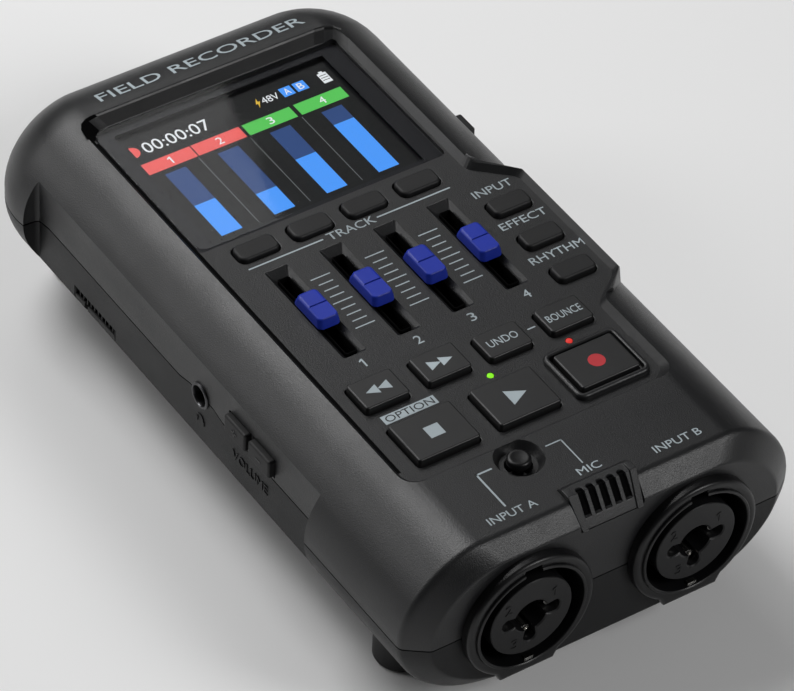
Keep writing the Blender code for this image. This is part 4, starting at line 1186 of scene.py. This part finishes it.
def build_feet():
    for name, x, d in FEET:
        low = -BODY_DEPTH - FOOT_HEIGHT
        r = FOOT_RADIUS
        profile = [(r - 1.4, low), (r - 0.7, low + 0.06), (r - 0.25, low + 0.3), (r, low + 0.8)]
        profile.append((r + 0.05, -26))
        foot = lathe(name + "_pad", "h", (x, d, 0), profile, PANEL_RUBBER)
        boolean(foot, [body("tool", None, -0.4)])
        attach(smooth(foot), "case", "keys", name)


def dress_cad():
    """Finishes for the CAD nodes that stay in view or inside the case."""
    finishes = {
        # The fader track takes the near-black painted shade.
        "fader_track": VOID, "joystick_gimbal": STEEL, "joystick_base": BLACK, "lcd_module": MASK,
        "mic_capsule": STEEL,
        "contact_": STEEL, "battery_1": WRAP, "battery_2": WRAP, "battery_3": WRAP, "battery_4": WRAP,
        "main_board": BOARD, "panel_board": BOARD, "speaker": BLACK, "tripod_nut": BRASS,
    }
    for name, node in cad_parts.items():
        for start, material in finishes.items():
            if name.startswith(start):
                node.data.materials.clear()
                node.data.materials.append(material)
                node.data.shade_smooth()
                node.data.set_sharp_from_angle(angle=math.radians(35))


# ---------------------------------------------------------------- the studio

def build_camera():
    azimuth, elevation, roll = (math.radians(v) for v in (CAMERA_AZIMUTH, CAMERA_ELEVATION, CAMERA_ROLL))
    reach = math.cos(elevation)
    back = Vector((math.sin(azimuth) * reach, -math.cos(azimuth) * reach, math.sin(elevation)))
    level = Vector((math.cos(azimuth), math.sin(azimuth), 0))
    upright = back.cross(level)
    right = level * math.cos(roll) + upright * math.sin(roll)
    turn = Matrix((right, back.cross(right), back)).transposed()
    lens = bpy.data.cameras.new("camera")
    lens.lens = CAMERA_LENS
    camera = bpy.data.objects.new("camera", lens)
    camera.matrix_world = Matrix.Translation(CAMERA_PLACE) @ turn.to_4x4()
    bpy.context.scene.collection.objects.link(camera)
    bpy.context.scene.camera = camera


def softbox(name, spot, size, power, roll=0.0, aim=(0, 0, 0.03)):
    """A rectangular light at spot, facing aim, rolled by some degrees."""
    light = bpy.data.lights.new(name, "AREA")
    light.shape = "RECTANGLE"
    light.size, light.size_y = size
    light.energy = power
    obj = bpy.data.objects.new(name, light)
    facing = (Vector(aim) - Vector(spot)).to_track_quat("-Z", "Y").to_matrix()
    turned = facing @ Matrix.Rotation(math.radians(roll), 3, "Z")
    obj.matrix_world = Matrix.Translation(spot) @ turned.to_4x4()
    bpy.context.scene.collection.objects.link(obj)


def build_studio():
    half = 4.0
    bm = bmesh.new()
    spots = ((-half, -half, 0), (half, -half, 0), (half, half, 0), (-half, half, 0))
    corners = [bm.verts.new(spot) for spot in spots]
    bm.faces.new(corners)
    floor = bm_object("floor", bm, studio_floor("floor_paper"))
    world = bpy.data.worlds.new("studio")
    world.use_nodes = True
    world.node_tree.nodes["Background"].inputs["Color"].default_value = (1, 1, 1, 1)
    world.node_tree.nodes["Background"].inputs["Strength"].default_value = 0.04
    bpy.context.scene.world = world
    bpy.context.scene.view_settings.view_transform = "Standard"
    # The screen mirrors the right edge of this box, which crosses it as a line.
    softbox("screen_box", (0.23, 0.81, 0.83), (0.5, 0.5), 2.0, 24.6, (-0.226, 0.116, 0.115))
    softbox("rear_box", (-0.173, 0.599, 0.812), (0.5, 0.5), 5.8)
    softbox("left_box", (-0.748, 0.660, 0.492), (0.4, 0.4), 2.3)
    softbox("front_box", (0.471, -0.751, 0.681), (0.4, 0.4), 4.6)


dress_cad()
build_upper()
build_lower()
build_covers()
build_keys()
build_faders()
build_stick()
build_lamps()
build_screen()
build_display()
build_print()
build_sockets()
build_grille()
build_sides()
build_feet()
build_camera()
build_studio()
